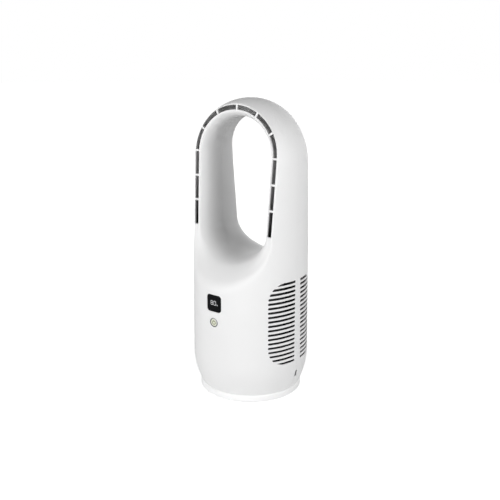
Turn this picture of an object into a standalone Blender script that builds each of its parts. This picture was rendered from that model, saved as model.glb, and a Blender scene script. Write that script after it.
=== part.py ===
"""A loop desk fan without visible blades, built as the separate pieces that it comes apart into.

Metres, +Z up, front towards -Y. The origin is on the table under the middle of the foot.
"""
import math

import bmesh
import bpy
from mathutils import Matrix, Vector
from mathutils.geometry import interpolate_bezier

# Clearances
GAP = 0.0003                    # between pieces that lie against each other
RUNNING_GAP = 0.0005            # between turning pieces and what they turn in
CUT = 0.002                     # how far a cutter runs past what it cuts
EMBED = 0.0008                  # how far joined shapes sink into each other
EDGE_ROUNDING = 0.0004          # on small visible pieces

# Body outline
BODY_RADIUS = 0.0653
SHOULDER_RADIUS = 0.0636        # where the dome starts
FOOT_TUCK = 0.0080              # how much narrower the shells' lower edge is than the body
TUCK_TOP = 0.045
DOME_START = 0.262
DOME_HEIGHT = 0.0675
WALL = 0.002
SHELL_BOTTOM = 0.009
BODY_STEPS = 40

# Loop and the scoops that thin it
LOOP_CENTRE = 0.2714            # height of the middle of the loop's arch
LEG_FOOT = 0.190                # height where the loop's straight legs end
RIM_DEPTH = 0.0276              # from the middle of the body to the rim's face, at the arch's middle
RIM_LEAN = 0.0733               # how far the rim's face comes forward for each unit down
SCOOP_END = 0.1285              # height where the scoop leaves the body
SCOOP_PULL_UPPER = 0.034        # how far the scoop's curve keeps the rim's slope
SCOOP_PULL_LOWER = 0.0285       # how far it keeps its slope at the lower end
SCOOP_END_SLOPE = math.radians(52)
SCOOP_STEPS = 6

# Hole through the loop, narrowest at the shells' seam
HOLE_ARCH_HALF_WIDTH = 0.0416
HOLE_ARCH_RISE = 0.0388
HOLE_LOW_HALF_WIDTH = 0.0392
HOLE_LOW_DROP = 0.0316
HOLE_ARCH_FLARE = 0.26          # widening of the arch for each unit forward or back
HOLE_LOW_FLARE = 0.23           # and of the lower end
HOLE_STEPS = 12

# Outlet slots in the rim
OUTLET_WIDTH = 0.005
OUTLET_RIB = 0.002
ARCH_OUTLETS = 6
LEG_OUTLETS = 3
OUTLET_STEPS = 3

# Inlet grilles, four groups with a plain strip at each side
GRILLE_SLOTS = 19
GRILLE_PITCH = 0.00504
GRILLE_SLOT = 0.0020
GRILLE_CENTRE = 0.0913
GRILLE_STRIP = 0.0121           # width of the plain strip between the front and rear groups
GRILLE_REACH = 0.0402           # from the middle of the strip to the group's far end, along the body
GRILLE_CORNER = 0.020           # corner radius of the group's far end
GRILLE_CUT = 0.007              # how far its cutters run inside and outside the body

# Foot
FOOT_RADIUS = 0.0582
FOOT_CLEARANCE = 0.0010         # from the table to the underside of the base plate
BASE_THICKNESS = 0.0022
FOOT_LOWER_ROUNDING = 0.0014
FOOT_UPPER_ROUNDING = 0.0022
SPIGOT_WALL = 0.0018
SPIGOT_TOP = 0.0125
RUBBER_RADIUS = 0.0060
RUBBER_RECESS = 0.0010
RUBBER_CIRCLE = 0.0450

# Screws
SCREW_SHANK = 0.0014
SCREW_HEAD = 0.0026
SCREW_HEAD_HEIGHT = 0.0020
BOSS_WALL = 0.0026
SMALL_SHANK = 0.0010
SMALL_HEAD = 0.0020
SMALL_HEAD_HEIGHT = 0.0015
SMALL_BOSS_WALL = 0.0013
SCREW_FACE = 0.8                # how much of a screw head's radius its flat face takes
BASE_SCREW_PLACE = 0.036        # from the middle, along X and along Y
BASE_SCREW_REACH = 0.0155       # how far the screw goes into the shell's boss
BASE_BOSS_TOP = 0.026
BASE_WEB = 0.0032               # floor that a screw's head rests on
SHELL_SCREW_SIDE = 0.046
SHELL_SCREW_HEIGHTS = (0.032, 0.128)
SHELL_SCREW_REACH = 0.012       # how far the screw goes past the seam
SHELL_SCREW_WEB = 0.004

# Battery
CELL_RADIUS = 0.0092
CELL_LENGTH = 0.065
CELL_SPACING = 0.0192
TRAY_WALL = 0.0015
TRAY_FLOOR = 0.0015
TRAY_WALL_HEIGHT = 0.0080
TAB_RISE = 0.0025               # of the tray's screw tabs, above its underside
TAB_LENGTH = 0.0085
TAB_WIDTH = 0.0100
TAB_THICKNESS = 0.0020
CLAMP_WIDTH = 0.0140
CLAMP_THICKNESS = 0.0015
TRAY_SCREW_REACH = 0.0022

# Charging board and its upright socket, which looks out between the shells
PORT_SIDE = 0.0012              # how far behind the middle the port lies
PORT_HEIGHT = 0.0274
SOCKET_TALL = 0.0075
SOCKET_THICKNESS = 0.0026
SOCKET_LENGTH = 0.0074
SOCKET_WALL = 0.0004
SOCKET_DEPTH = 0.0056
SOCKET_INSET = 0.0009           # from the body's outside to the socket's mouth
SOCKET_CORNER = 0.0009
TONGUE_TALL = 0.0050
TONGUE_THICKNESS = 0.0006
BOARD_THICKNESS = 0.0016
CHARGE_BOARD_INNER = 0.0365     # its inner and outer ends, from the middle
CHARGE_BOARD_OUTER = 0.0580
CHARGE_BOARD_WIDTH = 0.0200
CHARGE_POST_OFFSET = 0.0045     # its screws, from its inner end
CHARGE_POST_SPREAD = 0.0073     # its screws, from its middle
CHARGE_SCREW_REACH = 0.0070     # how far they go below the board
COIL_SIZE = 0.0060
COIL_HEIGHT = 0.0030
COIL_INSET = 0.0030             # from the board's inner end

# Front controls
DISPLAY_HEIGHT = 0.1147
DISPLAY_WIDTH = 0.0205
DISPLAY_TALL = 0.0176
DISPLAY_CORNER = 0.0030
DISPLAY_LEDGE = 0.0017
WINDOW_THICKNESS = 0.0015
PAD_THICKNESS = 0.0040          # thicker wall behind the controls, from the body's outside
PAD_RIM = 0.0028
BUTTON_HEIGHT = 0.0925
BUTTON_RADIUS = 0.0045
BUTTON_TRAVEL = 0.0008
BEZEL_RADIUS = 0.0057
BEZEL_DEPTH = 0.0024
BEZEL_PROUD = 0.0003
BUTTON_FLANGE = 0.0009          # how far the button's collar reaches past its bore
BUTTON_COLLAR = 0.0007
STEM_RADIUS = 0.0016
CONTROL_BOARD_FRONT = 0.0530    # from the middle to the board's front face
CONTROL_BOARD_WIDTH = 0.0320
CONTROL_BOARD_LOW = 0.0830
CONTROL_BOARD_TOP = 0.1290
CONTROL_SCREW_INSET = 0.0036
CONTROL_BOARD_CORNER = 0.0015
CHIP_SIZE = 0.0070
CHIP_HEIGHT = 0.0012
CHIP_DROP = 0.0080              # from the board's middle down to the chip
PART_CORNER = 0.0004            # of the small parts on the board
SWITCH_SIZE = 0.0062
SWITCH_DEPTH = 0.0033
PLUNGER_RADIUS = 0.0016
PLUNGER_LENGTH = 0.0019
PLUNGER_PROUD = 0.0013
MODULE_WIDTH = 0.0150
MODULE_TALL = 0.0120
MODULE_DEPTH = 0.0080

# Air path
DUCT_BORE = 0.0350
DUCT_WALL = 0.0020
BELL_LOW = 0.0400
BELL_TOP = 0.0500
BELL_FLARE = 0.0095
SHROUD_TOP = 0.0800
RING_HEIGHT = 0.0240
FLANGE_THICKNESS = 0.0020
FLANGE_REACH = 0.0030
LUG_CIRCLE = 0.0430
LUG_BOSS_HEIGHT = 0.0100
DUCT_SCREWS = 3
LEDGE_LOW = 0.1382
LEDGE_THICKNESS = 0.0018
LEDGE_REACH = 0.0042            # how far the ledge stands in from the shell's inside
HOLD_DOWNS = 4                  # tabs over the deck that hold it on its ledge
HOLD_DOWN_WIDTH = 0.0080
SEAL_THICKNESS = 0.0012
SEAL_WIDTH = 0.0030
DECK_THICKNESS = 0.0018
DECK_RADIUS = 0.0618
DECK_HALF_DEPTH = 0.0512

# Motor and impeller, all about the Z axis
HUB_RADIUS = 0.0170
HUB_WALL = 0.0016
HUB_LOW = 0.0785
HUB_TOP = 0.1000
HUB_PLATE_LOW = 0.0820
HUB_PLATE_THICKNESS = 0.0020
CAP_RISE = 0.0120
CAP_SPIGOT = 0.0040
CAP_HOLE = 0.0024
CAP_SWEEP = math.radians(84.6)  # of the cap's rounding, from its rim towards its hole
GUIDE_VANES = 9
VANE_LOW = 0.0815
VANE_TOP = 0.0990
VANE_THICKNESS = 0.0012
VANE_TURN = math.radians(26)
BEARING_TUBE_WALL = 0.0011
BEARING_TUBE_LOW = 0.0575
BEARING_RADIUS = 0.0030
BEARING_WIDTH = 0.0030
BEARING_INSET = 0.0010
SHAFT_RADIUS = 0.0015
SHAFT_LOW = 0.0535
SHAFT_TOP = 0.0800
STATOR_RADIUS = 0.0120
STATOR_LOW = 0.0620
STATOR_TOP = 0.0710
STATOR_POLES = 9
STATOR_HUB_WALL = 0.0012
POLE_WIDTH = 0.0024
SHOE_THICKNESS = 0.0011
SHOE_GAP_SHARE = 0.22           # how much of the circle the gaps between the shoes take
WINDING_OVERHANG = 0.0017
WINDING_GAP = 0.0003
MAGNET_THICKNESS = 0.0014
MAGNET_OVERHANG = 0.0010
ROTOR_WALL = 0.0008
ROTOR_FLOOR = 0.0010
ROTOR_LOW = 0.0555
ROTOR_TOP = 0.0740
NOSE_TIP = 0.0460
NOSE_TOP = 0.0580
IMPELLER_TOP = 0.0775
IMPELLER_BLADES = 9
BLADE_LOW = 0.0575
BLADE_TOP = 0.0755
BLADE_THICKNESS = 0.0013
BLADE_TURN = math.radians(46)
SOCKET_IN_NOSE = 0.0030

# Wires
THIN_WIRE = 0.0009
LEAD_RADIUS = 0.0011
LEAD_HOLE = 0.0026
POINTS_PER_SPAN = 2

MANY_CUTS = ("cavity", "front_shell", "rear_shell", "base_plate", "fan_duct", "guide_vanes")
DUCT_STEPS = 30
ROUND_STEPS = 24
CELL_STEPS = 16
BEARING_STEPS = 12
SMALL_STEPS = 8
CORNER_STEPS = 3
SMOOTH_ANGLE = math.radians(35)

TO_FRONT = Matrix.Rotation(math.pi / 2, 4, "X")     # +Z turned to -Y, +Y turned to +Z
TO_REAR = Matrix.Rotation(-math.pi / 2, 4, "X")     # +Z turned to +Y
TO_RIGHT = Matrix(((0, 0, 1, 0), (1, 0, 0, 0), (0, 1, 0, 0), (0, 0, 0, 1)))  # +Z turned to +X

# Sizes that follow from the ones above
FOOT_TOP = SHELL_BOTTOM - GAP
BASE_FLOOR = FOOT_CLEARANCE + BASE_THICKNESS
DUCT_OUTER = DUCT_BORE + DUCT_WALL
UPPER_BORE = DUCT_OUTER + GAP
UPPER_OUTER = UPPER_BORE + DUCT_WALL
RING_LOW = SHROUD_TOP + GAP
UPPER_LOW = RING_LOW + FLANGE_THICKNESS + GAP
FLANGE_RADIUS = DUCT_OUTER + FLANGE_REACH
SEAL_LOW = LEDGE_LOW + LEDGE_THICKNESS + GAP
DECK_LOW = SEAL_LOW + SEAL_THICKNESS + GAP
DECK_TOP = DECK_LOW + DECK_THICKNESS
ROTOR_BORE = STATOR_RADIUS + RUNNING_GAP + MAGNET_THICKNESS + GAP
ROTOR_OUTER = ROTOR_BORE + ROTOR_WALL
TRAY_LOW = BASE_FLOOR + GAP
CELL_CENTRE = TRAY_LOW + TRAY_FLOOR + GAP + CELL_RADIUS
TRAY_HALF_WIDTH = CELL_SPACING / 2 + CELL_RADIUS + GAP + TRAY_WALL
TRAY_HALF_LENGTH = CELL_LENGTH / 2 + GAP + TRAY_WALL
TAB_LOW = TRAY_LOW + TAB_RISE
TAB_MIDDLE = TRAY_HALF_WIDTH + TAB_LENGTH / 2
CHARGE_BOARD_TOP = PORT_HEIGHT - SOCKET_TALL / 2 - GAP
CHARGE_BOARD_LOW = CHARGE_BOARD_TOP - BOARD_THICKNESS
CONTROL_BOARD_BACK = CONTROL_BOARD_FRONT - BOARD_THICKNESS


def clear_scene():
    """Remove every object, so that the file holds only the fan."""
    for thing in list(bpy.data.objects):
        bpy.data.objects.remove(thing, do_unlink=True)


def finish(name, colour, roughness, metallic=0.0):
    """One plain surface finish."""
    made = bpy.data.materials.new(name)
    made.use_nodes = True
    shader = made.node_tree.nodes["Principled BSDF"]
    shader.inputs["Base Color"].default_value = (*colour, 1.0)
    shader.inputs["Roughness"].default_value = roughness
    shader.inputs["Metallic"].default_value = metallic
    return made


def piece(name, mesh, look, place=Matrix.Identity(4)):
    """Put a mesh in the scene as a named piece with its look."""
    data = bpy.data.meshes.new(name)
    mesh.to_mesh(data)
    mesh.free()
    data.materials.append(look)
    data.shade_smooth()
    data.set_sharp_from_angle(angle=SMOOTH_ANGLE)
    thing = bpy.data.objects.new(name, data)
    bpy.context.scene.collection.objects.link(thing)
    thing.matrix_world = place
    return thing


def guide(name, mesh, place=Matrix.Identity(4)):
    """Put a mesh in the scene as a hidden shape that others are cut or joined with."""
    data = bpy.data.meshes.new(name)
    mesh.to_mesh(data)
    mesh.free()
    thing = bpy.data.objects.new(name, data)
    bpy.context.scene.collection.objects.link(thing)
    thing.matrix_world = place
    thing.hide_render = True
    thing.display_type = "WIRE"
    return thing


def combine(thing, operation, *others):
    """Cut, join or intersect a piece with hidden shapes."""
    for other in others:
        step = thing.modifiers.new(other.name, "BOOLEAN")
        step.operation = operation
        step.solver = "MANIFOLD" if thing.name in MANY_CUTS else "EXACT"
        step.object = other
    return thing


def turned(profile, steps=ROUND_STEPS):
    """A solid turned about Z from a closed outline of (radius, height) points."""
    mesh = bmesh.new()
    corners = [mesh.verts.new((radius, 0.0, height)) for radius, height in profile]
    edges = []
    for first, second in zip(corners, corners[1:] + corners[:1]):
        if first.co.x > 0.0 or second.co.x > 0.0:
            edges.append(mesh.edges.new((first, second)))
    bmesh.ops.spin(mesh, geom=corners + edges, cent=(0, 0, 0), axis=(0, 0, 1),
                   angle=math.tau, steps=steps, use_merge=True)
    bmesh.ops.remove_doubles(mesh, verts=mesh.verts, dist=1e-6)
    bmesh.ops.recalc_face_normals(mesh, faces=mesh.faces)
    return mesh


def extruded(outline, low, high):
    """A solid with a flat outline in X and Y, from one height to another."""
    mesh = bmesh.new()
    face = mesh.faces.new([mesh.verts.new((x, y, low)) for x, y in outline])
    raised = bmesh.ops.extrude_face_region(mesh, geom=[face])["geom"]
    corners = [item for item in raised if isinstance(item, bmesh.types.BMVert)]
    bmesh.ops.translate(mesh, verts=corners, vec=(0, 0, high - low))
    bmesh.ops.recalc_face_normals(mesh, faces=mesh.faces)
    return mesh


def box(low, high):
    """A plain block between two corners."""
    outline = [(low[0], low[1]), (high[0], low[1]), (high[0], high[1]), (low[0], high[1])]
    return extruded(outline, low[2], high[2])


def bar(radius, low, high, steps=SMALL_STEPS):
    """A round bar about Z."""
    return turned([(0.0, low), (radius, low), (radius, high), (0.0, high)], steps)


def ring(inner, outer, low, high, steps=ROUND_STEPS):
    """A plain ring about Z."""
    return turned([(inner, low), (outer, low), (outer, high), (inner, high)], steps)


def at(x=0.0, y=0.0, z=0.0):
    """A shift, for placing a piece."""
    return Matrix.Translation((x, y, z))


def rounded_outline(width, height, corner, steps=CORNER_STEPS):
    """A rounded rectangle about the origin."""
    points = []
    for quarter, (side, end) in enumerate(((1, 1), (-1, 1), (-1, -1), (1, -1))):
        for step in range(steps + 1):
            angle = math.pi / 2 * (quarter + step / steps)
            points.append((side * (width / 2 - corner) + corner * math.cos(angle),
                           end * (height / 2 - corner) + corner * math.sin(angle)))
    return points


def round_polar(radius, count, start=0.0):
    """Evenly spaced places on a circle."""
    angles = [start + math.tau * number / count for number in range(count)]
    return [(radius * math.cos(angle), radius * math.sin(angle)) for angle in angles]


def body_radius(height):
    """Outer radius of the body at a height."""
    if height < TUCK_TOP:
        share = (TUCK_TOP - height) / (TUCK_TOP - SHELL_BOTTOM)
        return BODY_RADIUS - FOOT_TUCK * share ** 2
    if height < DOME_START:
        share = (height - TUCK_TOP) / (DOME_START - TUCK_TOP)
        return BODY_RADIUS + (SHOULDER_RADIUS - BODY_RADIUS) * share
    share = min(1.0, (height - DOME_START) / DOME_HEIGHT)
    return SHOULDER_RADIUS * math.sqrt(1.0 - share ** 2)


def body_profile(inset, bottom):
    """Closed outline of the body, drawn in by an inset, from the axis at the bottom to the dome's top."""
    tuck_steps = 3
    dome_steps = 7
    points = [(0.0, bottom)]
    if bottom < SHELL_BOTTOM:
        points.append((body_radius(SHELL_BOTTOM) - inset, bottom))
    for step in range(tuck_steps + 1):
        height = SHELL_BOTTOM + (TUCK_TOP - SHELL_BOTTOM) * step / tuck_steps
        points.append((body_radius(height) - inset, height))
    for step in range(dome_steps):
        angle = math.pi / 2 * step / dome_steps
        points.append(((SHOULDER_RADIUS - inset) * math.cos(angle),
                       DOME_START + (DOME_HEIGHT - inset) * math.sin(angle)))
    points.append((0.0, DOME_START + DOME_HEIGHT - inset))
    return points


def rim_depth(height):
    """Distance from the middle plane to the straight part of the rim's face."""
    return RIM_DEPTH + RIM_LEAN * (LOOP_CENTRE - height)


def scoop_curve(inset):
    """Outline (depth, height) of the face that thins the loop, from above the dome down to the body."""
    top = Vector((rim_depth(DOME_START + DOME_HEIGHT + CUT), DOME_START + DOME_HEIGHT + CUT))
    start = Vector((rim_depth(LEG_FOOT), LEG_FOOT))
    end = Vector((BODY_RADIUS + CUT, SCOOP_END))
    upper_pull = Vector((rim_depth(LEG_FOOT - SCOOP_PULL_UPPER), LEG_FOOT - SCOOP_PULL_UPPER))
    lower_pull = end + SCOOP_PULL_LOWER * Vector((-math.cos(SCOOP_END_SLOPE), math.sin(SCOOP_END_SLOPE)))
    points = [top] + interpolate_bezier(start, upper_pull, lower_pull, end, SCOOP_STEPS)
    moved = []
    for number, point in enumerate(points):
        before = points[max(0, number - 1)]
        after = points[min(len(points) - 1, number + 1)]
        along = Vector((after[0] - before[0], after[1] - before[1])).normalized()
        moved.append((point[0] + inset * along[1], point[1] - inset * along[0]))
    return moved


def scoop(inset):
    """The space in front of the loop's face, as a solid along X."""
    curve = scoop_curve(inset)
    far = BODY_RADIUS + 4 * CUT
    outline = curve + [(far, curve[-1][1]), (far, curve[0][1])]
    mesh = extruded(outline, -far, far)
    bmesh.ops.transform(mesh, matrix=Matrix(((0, 0, 1, 0), (-1, 0, 0, 0), (0, 1, 0, 0), (0, 0, 0, 1))),
                        verts=mesh.verts)
    bmesh.ops.recalc_face_normals(mesh, faces=mesh.faces)
    return mesh


def hole_outline(depth, grow):
    """Outline (x, height) of the hole through the loop, at a distance from the seam."""
    wider = HOLE_ARCH_FLARE * abs(depth) + grow
    points = []
    for step in range(HOLE_STEPS + 1):
        angle = math.pi * step / HOLE_STEPS
        points.append(((HOLE_ARCH_HALF_WIDTH + wider) * math.cos(angle),
                       LOOP_CENTRE + (HOLE_ARCH_RISE + wider) * math.sin(angle)))
    wider = HOLE_LOW_FLARE * abs(depth) + grow
    for step in range(HOLE_STEPS + 1):
        angle = math.pi * (1 + step / HOLE_STEPS)
        points.append(((HOLE_LOW_HALF_WIDTH + wider) * math.cos(angle),
                       LEG_FOOT + (HOLE_LOW_DROP + wider) * math.sin(angle)))
    return points


def hole(grow):
    """The flared space through the loop, as a solid along Y."""
    mesh = bmesh.new()
    far = BODY_RADIUS + 4 * CUT
    rows = []
    for depth in (-far, 0.0, far):
        rows.append([mesh.verts.new((x, depth, height)) for x, height in hole_outline(depth, grow)])
    for first, second in zip(rows, rows[1:]):
        for number in range(len(first)):
            after = (number + 1) % len(first)
            mesh.faces.new((first[number], first[after], second[after], second[number]))
    mesh.faces.new(rows[0])
    mesh.faces.new(rows[-1])
    bmesh.ops.recalc_face_normals(mesh, faces=mesh.faces)
    return mesh


def rim_edges(height):
    """Inner and outer half-widths of the rim's face at a height of its straight part."""
    depth = rim_depth(height)
    share = (height - LEG_FOOT) / (LOOP_CENTRE - LEG_FOOT)
    low = HOLE_LOW_HALF_WIDTH + HOLE_LOW_FLARE * depth
    arch = HOLE_ARCH_HALF_WIDTH + HOLE_ARCH_FLARE * depth
    inner = low + (arch - low) * share
    return inner, math.sqrt(body_radius(height) ** 2 - depth ** 2)


def arch_top():
    """Height of the middle of the rim's face at the top of the loop."""
    inner = LOOP_CENTRE + HOLE_ARCH_RISE + HOLE_ARCH_FLARE * rim_depth(LOOP_CENTRE + HOLE_ARCH_RISE)
    share = rim_depth(DOME_START + DOME_HEIGHT) / SHOULDER_RADIUS
    outer = DOME_START + DOME_HEIGHT * math.sqrt(1.0 - share ** 2)
    return (inner + outer) / 2


def outlet_stations():
    """For each outlet slot, the points (x, height) along the middle of the rim's face."""
    arch_width = sum(rim_edges(LOOP_CENTRE)) / 2
    arch_rise = arch_top() - LOOP_CENTRE
    slots = []
    half_rib = OUTLET_RIB / 2
    for number in range(ARCH_OUTLETS):
        sweep = math.pi / ARCH_OUTLETS
        rib = half_rib / arch_width
        points = []
        for step in range(OUTLET_STEPS + 1):
            angle = number * sweep + rib + (sweep - 2 * rib) * step / OUTLET_STEPS
            points.append((arch_width * math.cos(angle), LOOP_CENTRE + arch_rise * math.sin(angle)))
        slots.append(points)
    leg_pitch = (LOOP_CENTRE - LEG_FOOT) / LEG_OUTLETS
    for number in range(LEG_OUTLETS):
        top = LOOP_CENTRE - leg_pitch * number - half_rib
        low = LOOP_CENTRE - leg_pitch * (number + 1) + half_rib
        for side in (-1, 1):
            slots.append([(side * sum(rim_edges(height)) / 2, height) for height in (top, low)])
    return slots


def outlet_cutter():
    """All the outlet slots, each a short solid that follows the rim."""
    mesh = bmesh.new()
    for points in outlet_stations():
        rows = []
        for number, (x, height) in enumerate(points):
            before = Vector(points[max(0, number - 1)])
            after = Vector(points[min(len(points) - 1, number + 1)])
            along = (after - before).normalized()
            aside = Vector((along[1], -along[0])) * OUTLET_WIDTH / 2
            depth = rim_depth(height)
            row = []
            for side, out in ((-1, 2 * WALL), (1, 2 * WALL), (1, -2 * WALL), (-1, -2 * WALL)):
                row.append(mesh.verts.new((x + side * aside[0], -depth - out, height + side * aside[1])))
            rows.append(row)
        for first, second in zip(rows, rows[1:]):
            for number in range(4):
                after = (number + 1) % 4
                mesh.faces.new((first[number], first[after], second[after], second[number]))
        mesh.faces.new(rows[0])
        mesh.faces.new(rows[-1])
    bmesh.ops.recalc_face_normals(mesh, faces=mesh.faces)
    return mesh


def grille_reach(height):
    """How far a grille slot at a height reaches from the middle of the side strip, along the body."""
    half_height = (GRILLE_SLOTS - 1) / 2 * GRILLE_PITCH + GRILLE_SLOT / 2
    into_corner = abs(height - GRILLE_CENTRE) - (half_height - GRILLE_CORNER)
    if into_corner <= 0.0:
        return GRILLE_REACH
    return GRILLE_REACH - GRILLE_CORNER + math.sqrt(GRILLE_CORNER ** 2 - into_corner ** 2)


def grille_cutter(facing):
    """The grille slots of one shell, in a group on each side. facing is -1 in front and 1 behind."""
    mesh = bmesh.new()
    near = (GRILLE_STRIP / 2) / BODY_RADIUS
    inner = BODY_RADIUS - GRILLE_CUT
    outer = BODY_RADIUS + GRILLE_CUT
    for number in range(GRILLE_SLOTS):
        height = GRILLE_CENTRE + (number - (GRILLE_SLOTS - 1) / 2) * GRILLE_PITCH
        far = grille_reach(height) / BODY_RADIUS
        for side in (-1, 1):
            floor = []
            for radius, angle in ((inner, near), (outer, near), (outer, far), (inner, far)):
                floor.append((side * radius * math.cos(angle), facing * radius * math.sin(angle)))
            slot = extruded(floor, height - GRILLE_SLOT / 2, height + GRILLE_SLOT / 2)
            scratch = bpy.data.meshes.new("slot")
            slot.to_mesh(scratch)
            slot.free()
            mesh.from_mesh(scratch)
            bpy.data.meshes.remove(scratch)
    return mesh


def deck_outline(radius, half_depth):
    """A circle cut straight in front and behind, as the air deck above the grilles needs."""
    points = []
    side = math.asin(half_depth / radius)
    steps = 8
    for start in (-side, math.pi - side):
        for step in range(steps + 1):
            angle = start + 2 * side * step / steps
            points.append((radius * math.cos(angle), radius * math.sin(angle)))
    return points


def shell_features():
    """What stands inside the shells: ledges, bosses and pads, as hidden solids."""
    made = []
    opening = deck_outline(DECK_RADIUS + GAP - LEDGE_REACH, DECK_HALF_DEPTH + GAP - LEDGE_REACH)
    ledge = guide("ledge", bar(BODY_RADIUS, LEDGE_LOW, LEDGE_LOW + LEDGE_THICKNESS, BODY_STEPS))
    inside = guide("ledge_opening", extruded(opening, LEDGE_LOW - CUT, LEDGE_LOW + LEDGE_THICKNESS + CUT))
    made.append(combine(ledge, "DIFFERENCE", inside))
    for number, (x, y) in enumerate(round_polar(DECK_RADIUS, HOLD_DOWNS, math.pi / HOLD_DOWNS)):
        tab = box((-LEDGE_REACH, -HOLD_DOWN_WIDTH / 2, DECK_TOP + GAP),
                  (BODY_RADIUS - DECK_RADIUS, HOLD_DOWN_WIDTH / 2, DECK_TOP + GAP + LEDGE_THICKNESS))
        turn = Matrix.Rotation(math.atan2(y, x), 4, "Z")
        made.append(guide(f"hold_down_{number + 1}", tab, at(x, y) @ turn))
    boss = SCREW_SHANK + GAP + BOSS_WALL
    for side in (-1, 1):
        for number, height in enumerate(SHELL_SCREW_HEIGHTS):
            reach = BODY_RADIUS
            made.append(guide(f"shell_boss_{side}_{number}", bar(boss, -reach, reach),
                              at(side * SHELL_SCREW_SIDE, 0.0, height) @ TO_FRONT))
    base_boss = SCREW_SHANK + GAP + BOSS_WALL
    for number, (x, y) in enumerate(base_screw_places()):
        made.append(guide(f"base_boss_{number + 1}", bar(base_boss, SPIGOT_TOP + GAP, BASE_BOSS_TOP), at(x, y)))
        rib = box((0.0, -WALL / 2, SPIGOT_TOP + WALL),
                  (BODY_RADIUS - math.hypot(x, y), WALL / 2, BASE_BOSS_TOP - WALL))
        turn = Matrix.Rotation(math.atan2(y, x), 4, "Z")
        made.append(guide(f"base_rib_{number + 1}", rib, at(x, y) @ turn))
    back = BODY_RADIUS - PAD_THICKNESS
    pad = rounded_outline(DISPLAY_WIDTH + 2 * PAD_RIM, DISPLAY_TALL + 2 * PAD_RIM, DISPLAY_CORNER, 1)
    made.append(guide("display_pad", extruded(pad, back, BODY_RADIUS), at(z=DISPLAY_HEIGHT) @ TO_FRONT))
    made.append(guide("button_pad", bar(BEZEL_RADIUS + PAD_RIM, back, BODY_RADIUS, ROUND_STEPS),
                      at(z=BUTTON_HEIGHT) @ TO_FRONT))
    for number, (x, height) in enumerate(control_screw_places()):
        boss = bar(SMALL_SHANK + GAP + SMALL_BOSS_WALL, CONTROL_BOARD_FRONT + GAP, BODY_RADIUS)
        made.append(guide(f"control_boss_{number + 1}", boss, at(x, 0.0, height) @ TO_FRONT))
    return made


def base_screw_places():
    """Where the screws from below stand."""
    return [(x * BASE_SCREW_PLACE, y * BASE_SCREW_PLACE) for x, y in ((1, 1), (-1, 1), (-1, -1), (1, -1))]


def control_screw_places():
    """Where the control board's screws are, as (x, height)."""
    half = CONTROL_BOARD_WIDTH / 2 - CONTROL_SCREW_INSET
    low = CONTROL_BOARD_LOW + CONTROL_SCREW_INSET
    high = CONTROL_BOARD_TOP - CONTROL_SCREW_INSET
    return [(-half, low), (half, low), (-half, high), (half, high)]


def charge_screw_places():
    """Where the charging board's screws are, as (x, y)."""
    x = CHARGE_BOARD_INNER + CHARGE_POST_OFFSET
    return [(x, PORT_SIDE - CHARGE_POST_SPREAD), (x, PORT_SIDE + CHARGE_POST_SPREAD)]


def lug_places():
    """Where the duct's screws are, as (x, y)."""
    return round_polar(LUG_CIRCLE, DUCT_SCREWS, math.pi / 2)


def cavity():
    """The hollow inside both shells."""
    hollow = guide("cavity", turned(body_profile(WALL, SHELL_BOTTOM - CUT), BODY_STEPS))
    front = guide("inner_scoop_front", scoop(WALL))
    rear = guide("inner_scoop_rear", scoop(WALL), Matrix.Rotation(math.pi, 4, "Z"))
    combine(hollow, "DIFFERENCE", front, rear, guide("hole_wall", hole(WALL)))
    return combine(hollow, "DIFFERENCE", *shell_features())


def port_cutter():
    """The opening that the charging socket looks out of, along Z."""
    outline = rounded_outline(SOCKET_THICKNESS + 2 * GAP, SOCKET_TALL + 2 * GAP, SOCKET_CORNER + GAP)
    return extruded(outline, body_radius(PORT_HEIGHT) - WALL - 2 * CUT, BODY_RADIUS + CUT)


def shell(name, facing, look, hollow, through):
    """One half of the body, hollow, with its scoop. facing is -1 in front and 1 behind."""
    made = piece(name, turned(body_profile(0.0, SHELL_BOTTOM), BODY_STEPS), look)
    far = BODY_RADIUS + 2 * CUT
    edge = facing * GAP / 2
    low = min(edge, -facing * far)
    high = max(edge, -facing * far)
    other_half = box((-far, low, -CUT), (far, high, DOME_START + DOME_HEIGHT + CUT))
    turn = Matrix.Identity(4) if facing < 0 else Matrix.Rotation(math.pi, 4, "Z")
    combine(made, "DIFFERENCE", guide(f"{name}_scoop", scoop(0.0), turn), through, hollow)
    combine(made, "DIFFERENCE", guide(f"{name}_other_half", other_half))
    combine(made, "DIFFERENCE", guide(f"{name}_grille", grille_cutter(facing)))
    place = at(y=PORT_SIDE, z=PORT_HEIGHT) @ TO_RIGHT
    combine(made, "DIFFERENCE", guide(f"{name}_port", port_cutter(), place))
    for number, (x, y) in enumerate(base_screw_places()):
        if y * facing > 0:
            bore = bar(SCREW_SHANK + GAP, SPIGOT_TOP - CUT, BASE_SCREW_REACH + SPIGOT_TOP)
            combine(made, "DIFFERENCE", guide(f"{name}_base_bore_{number + 1}", bore, at(x, y)))
    return made


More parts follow.
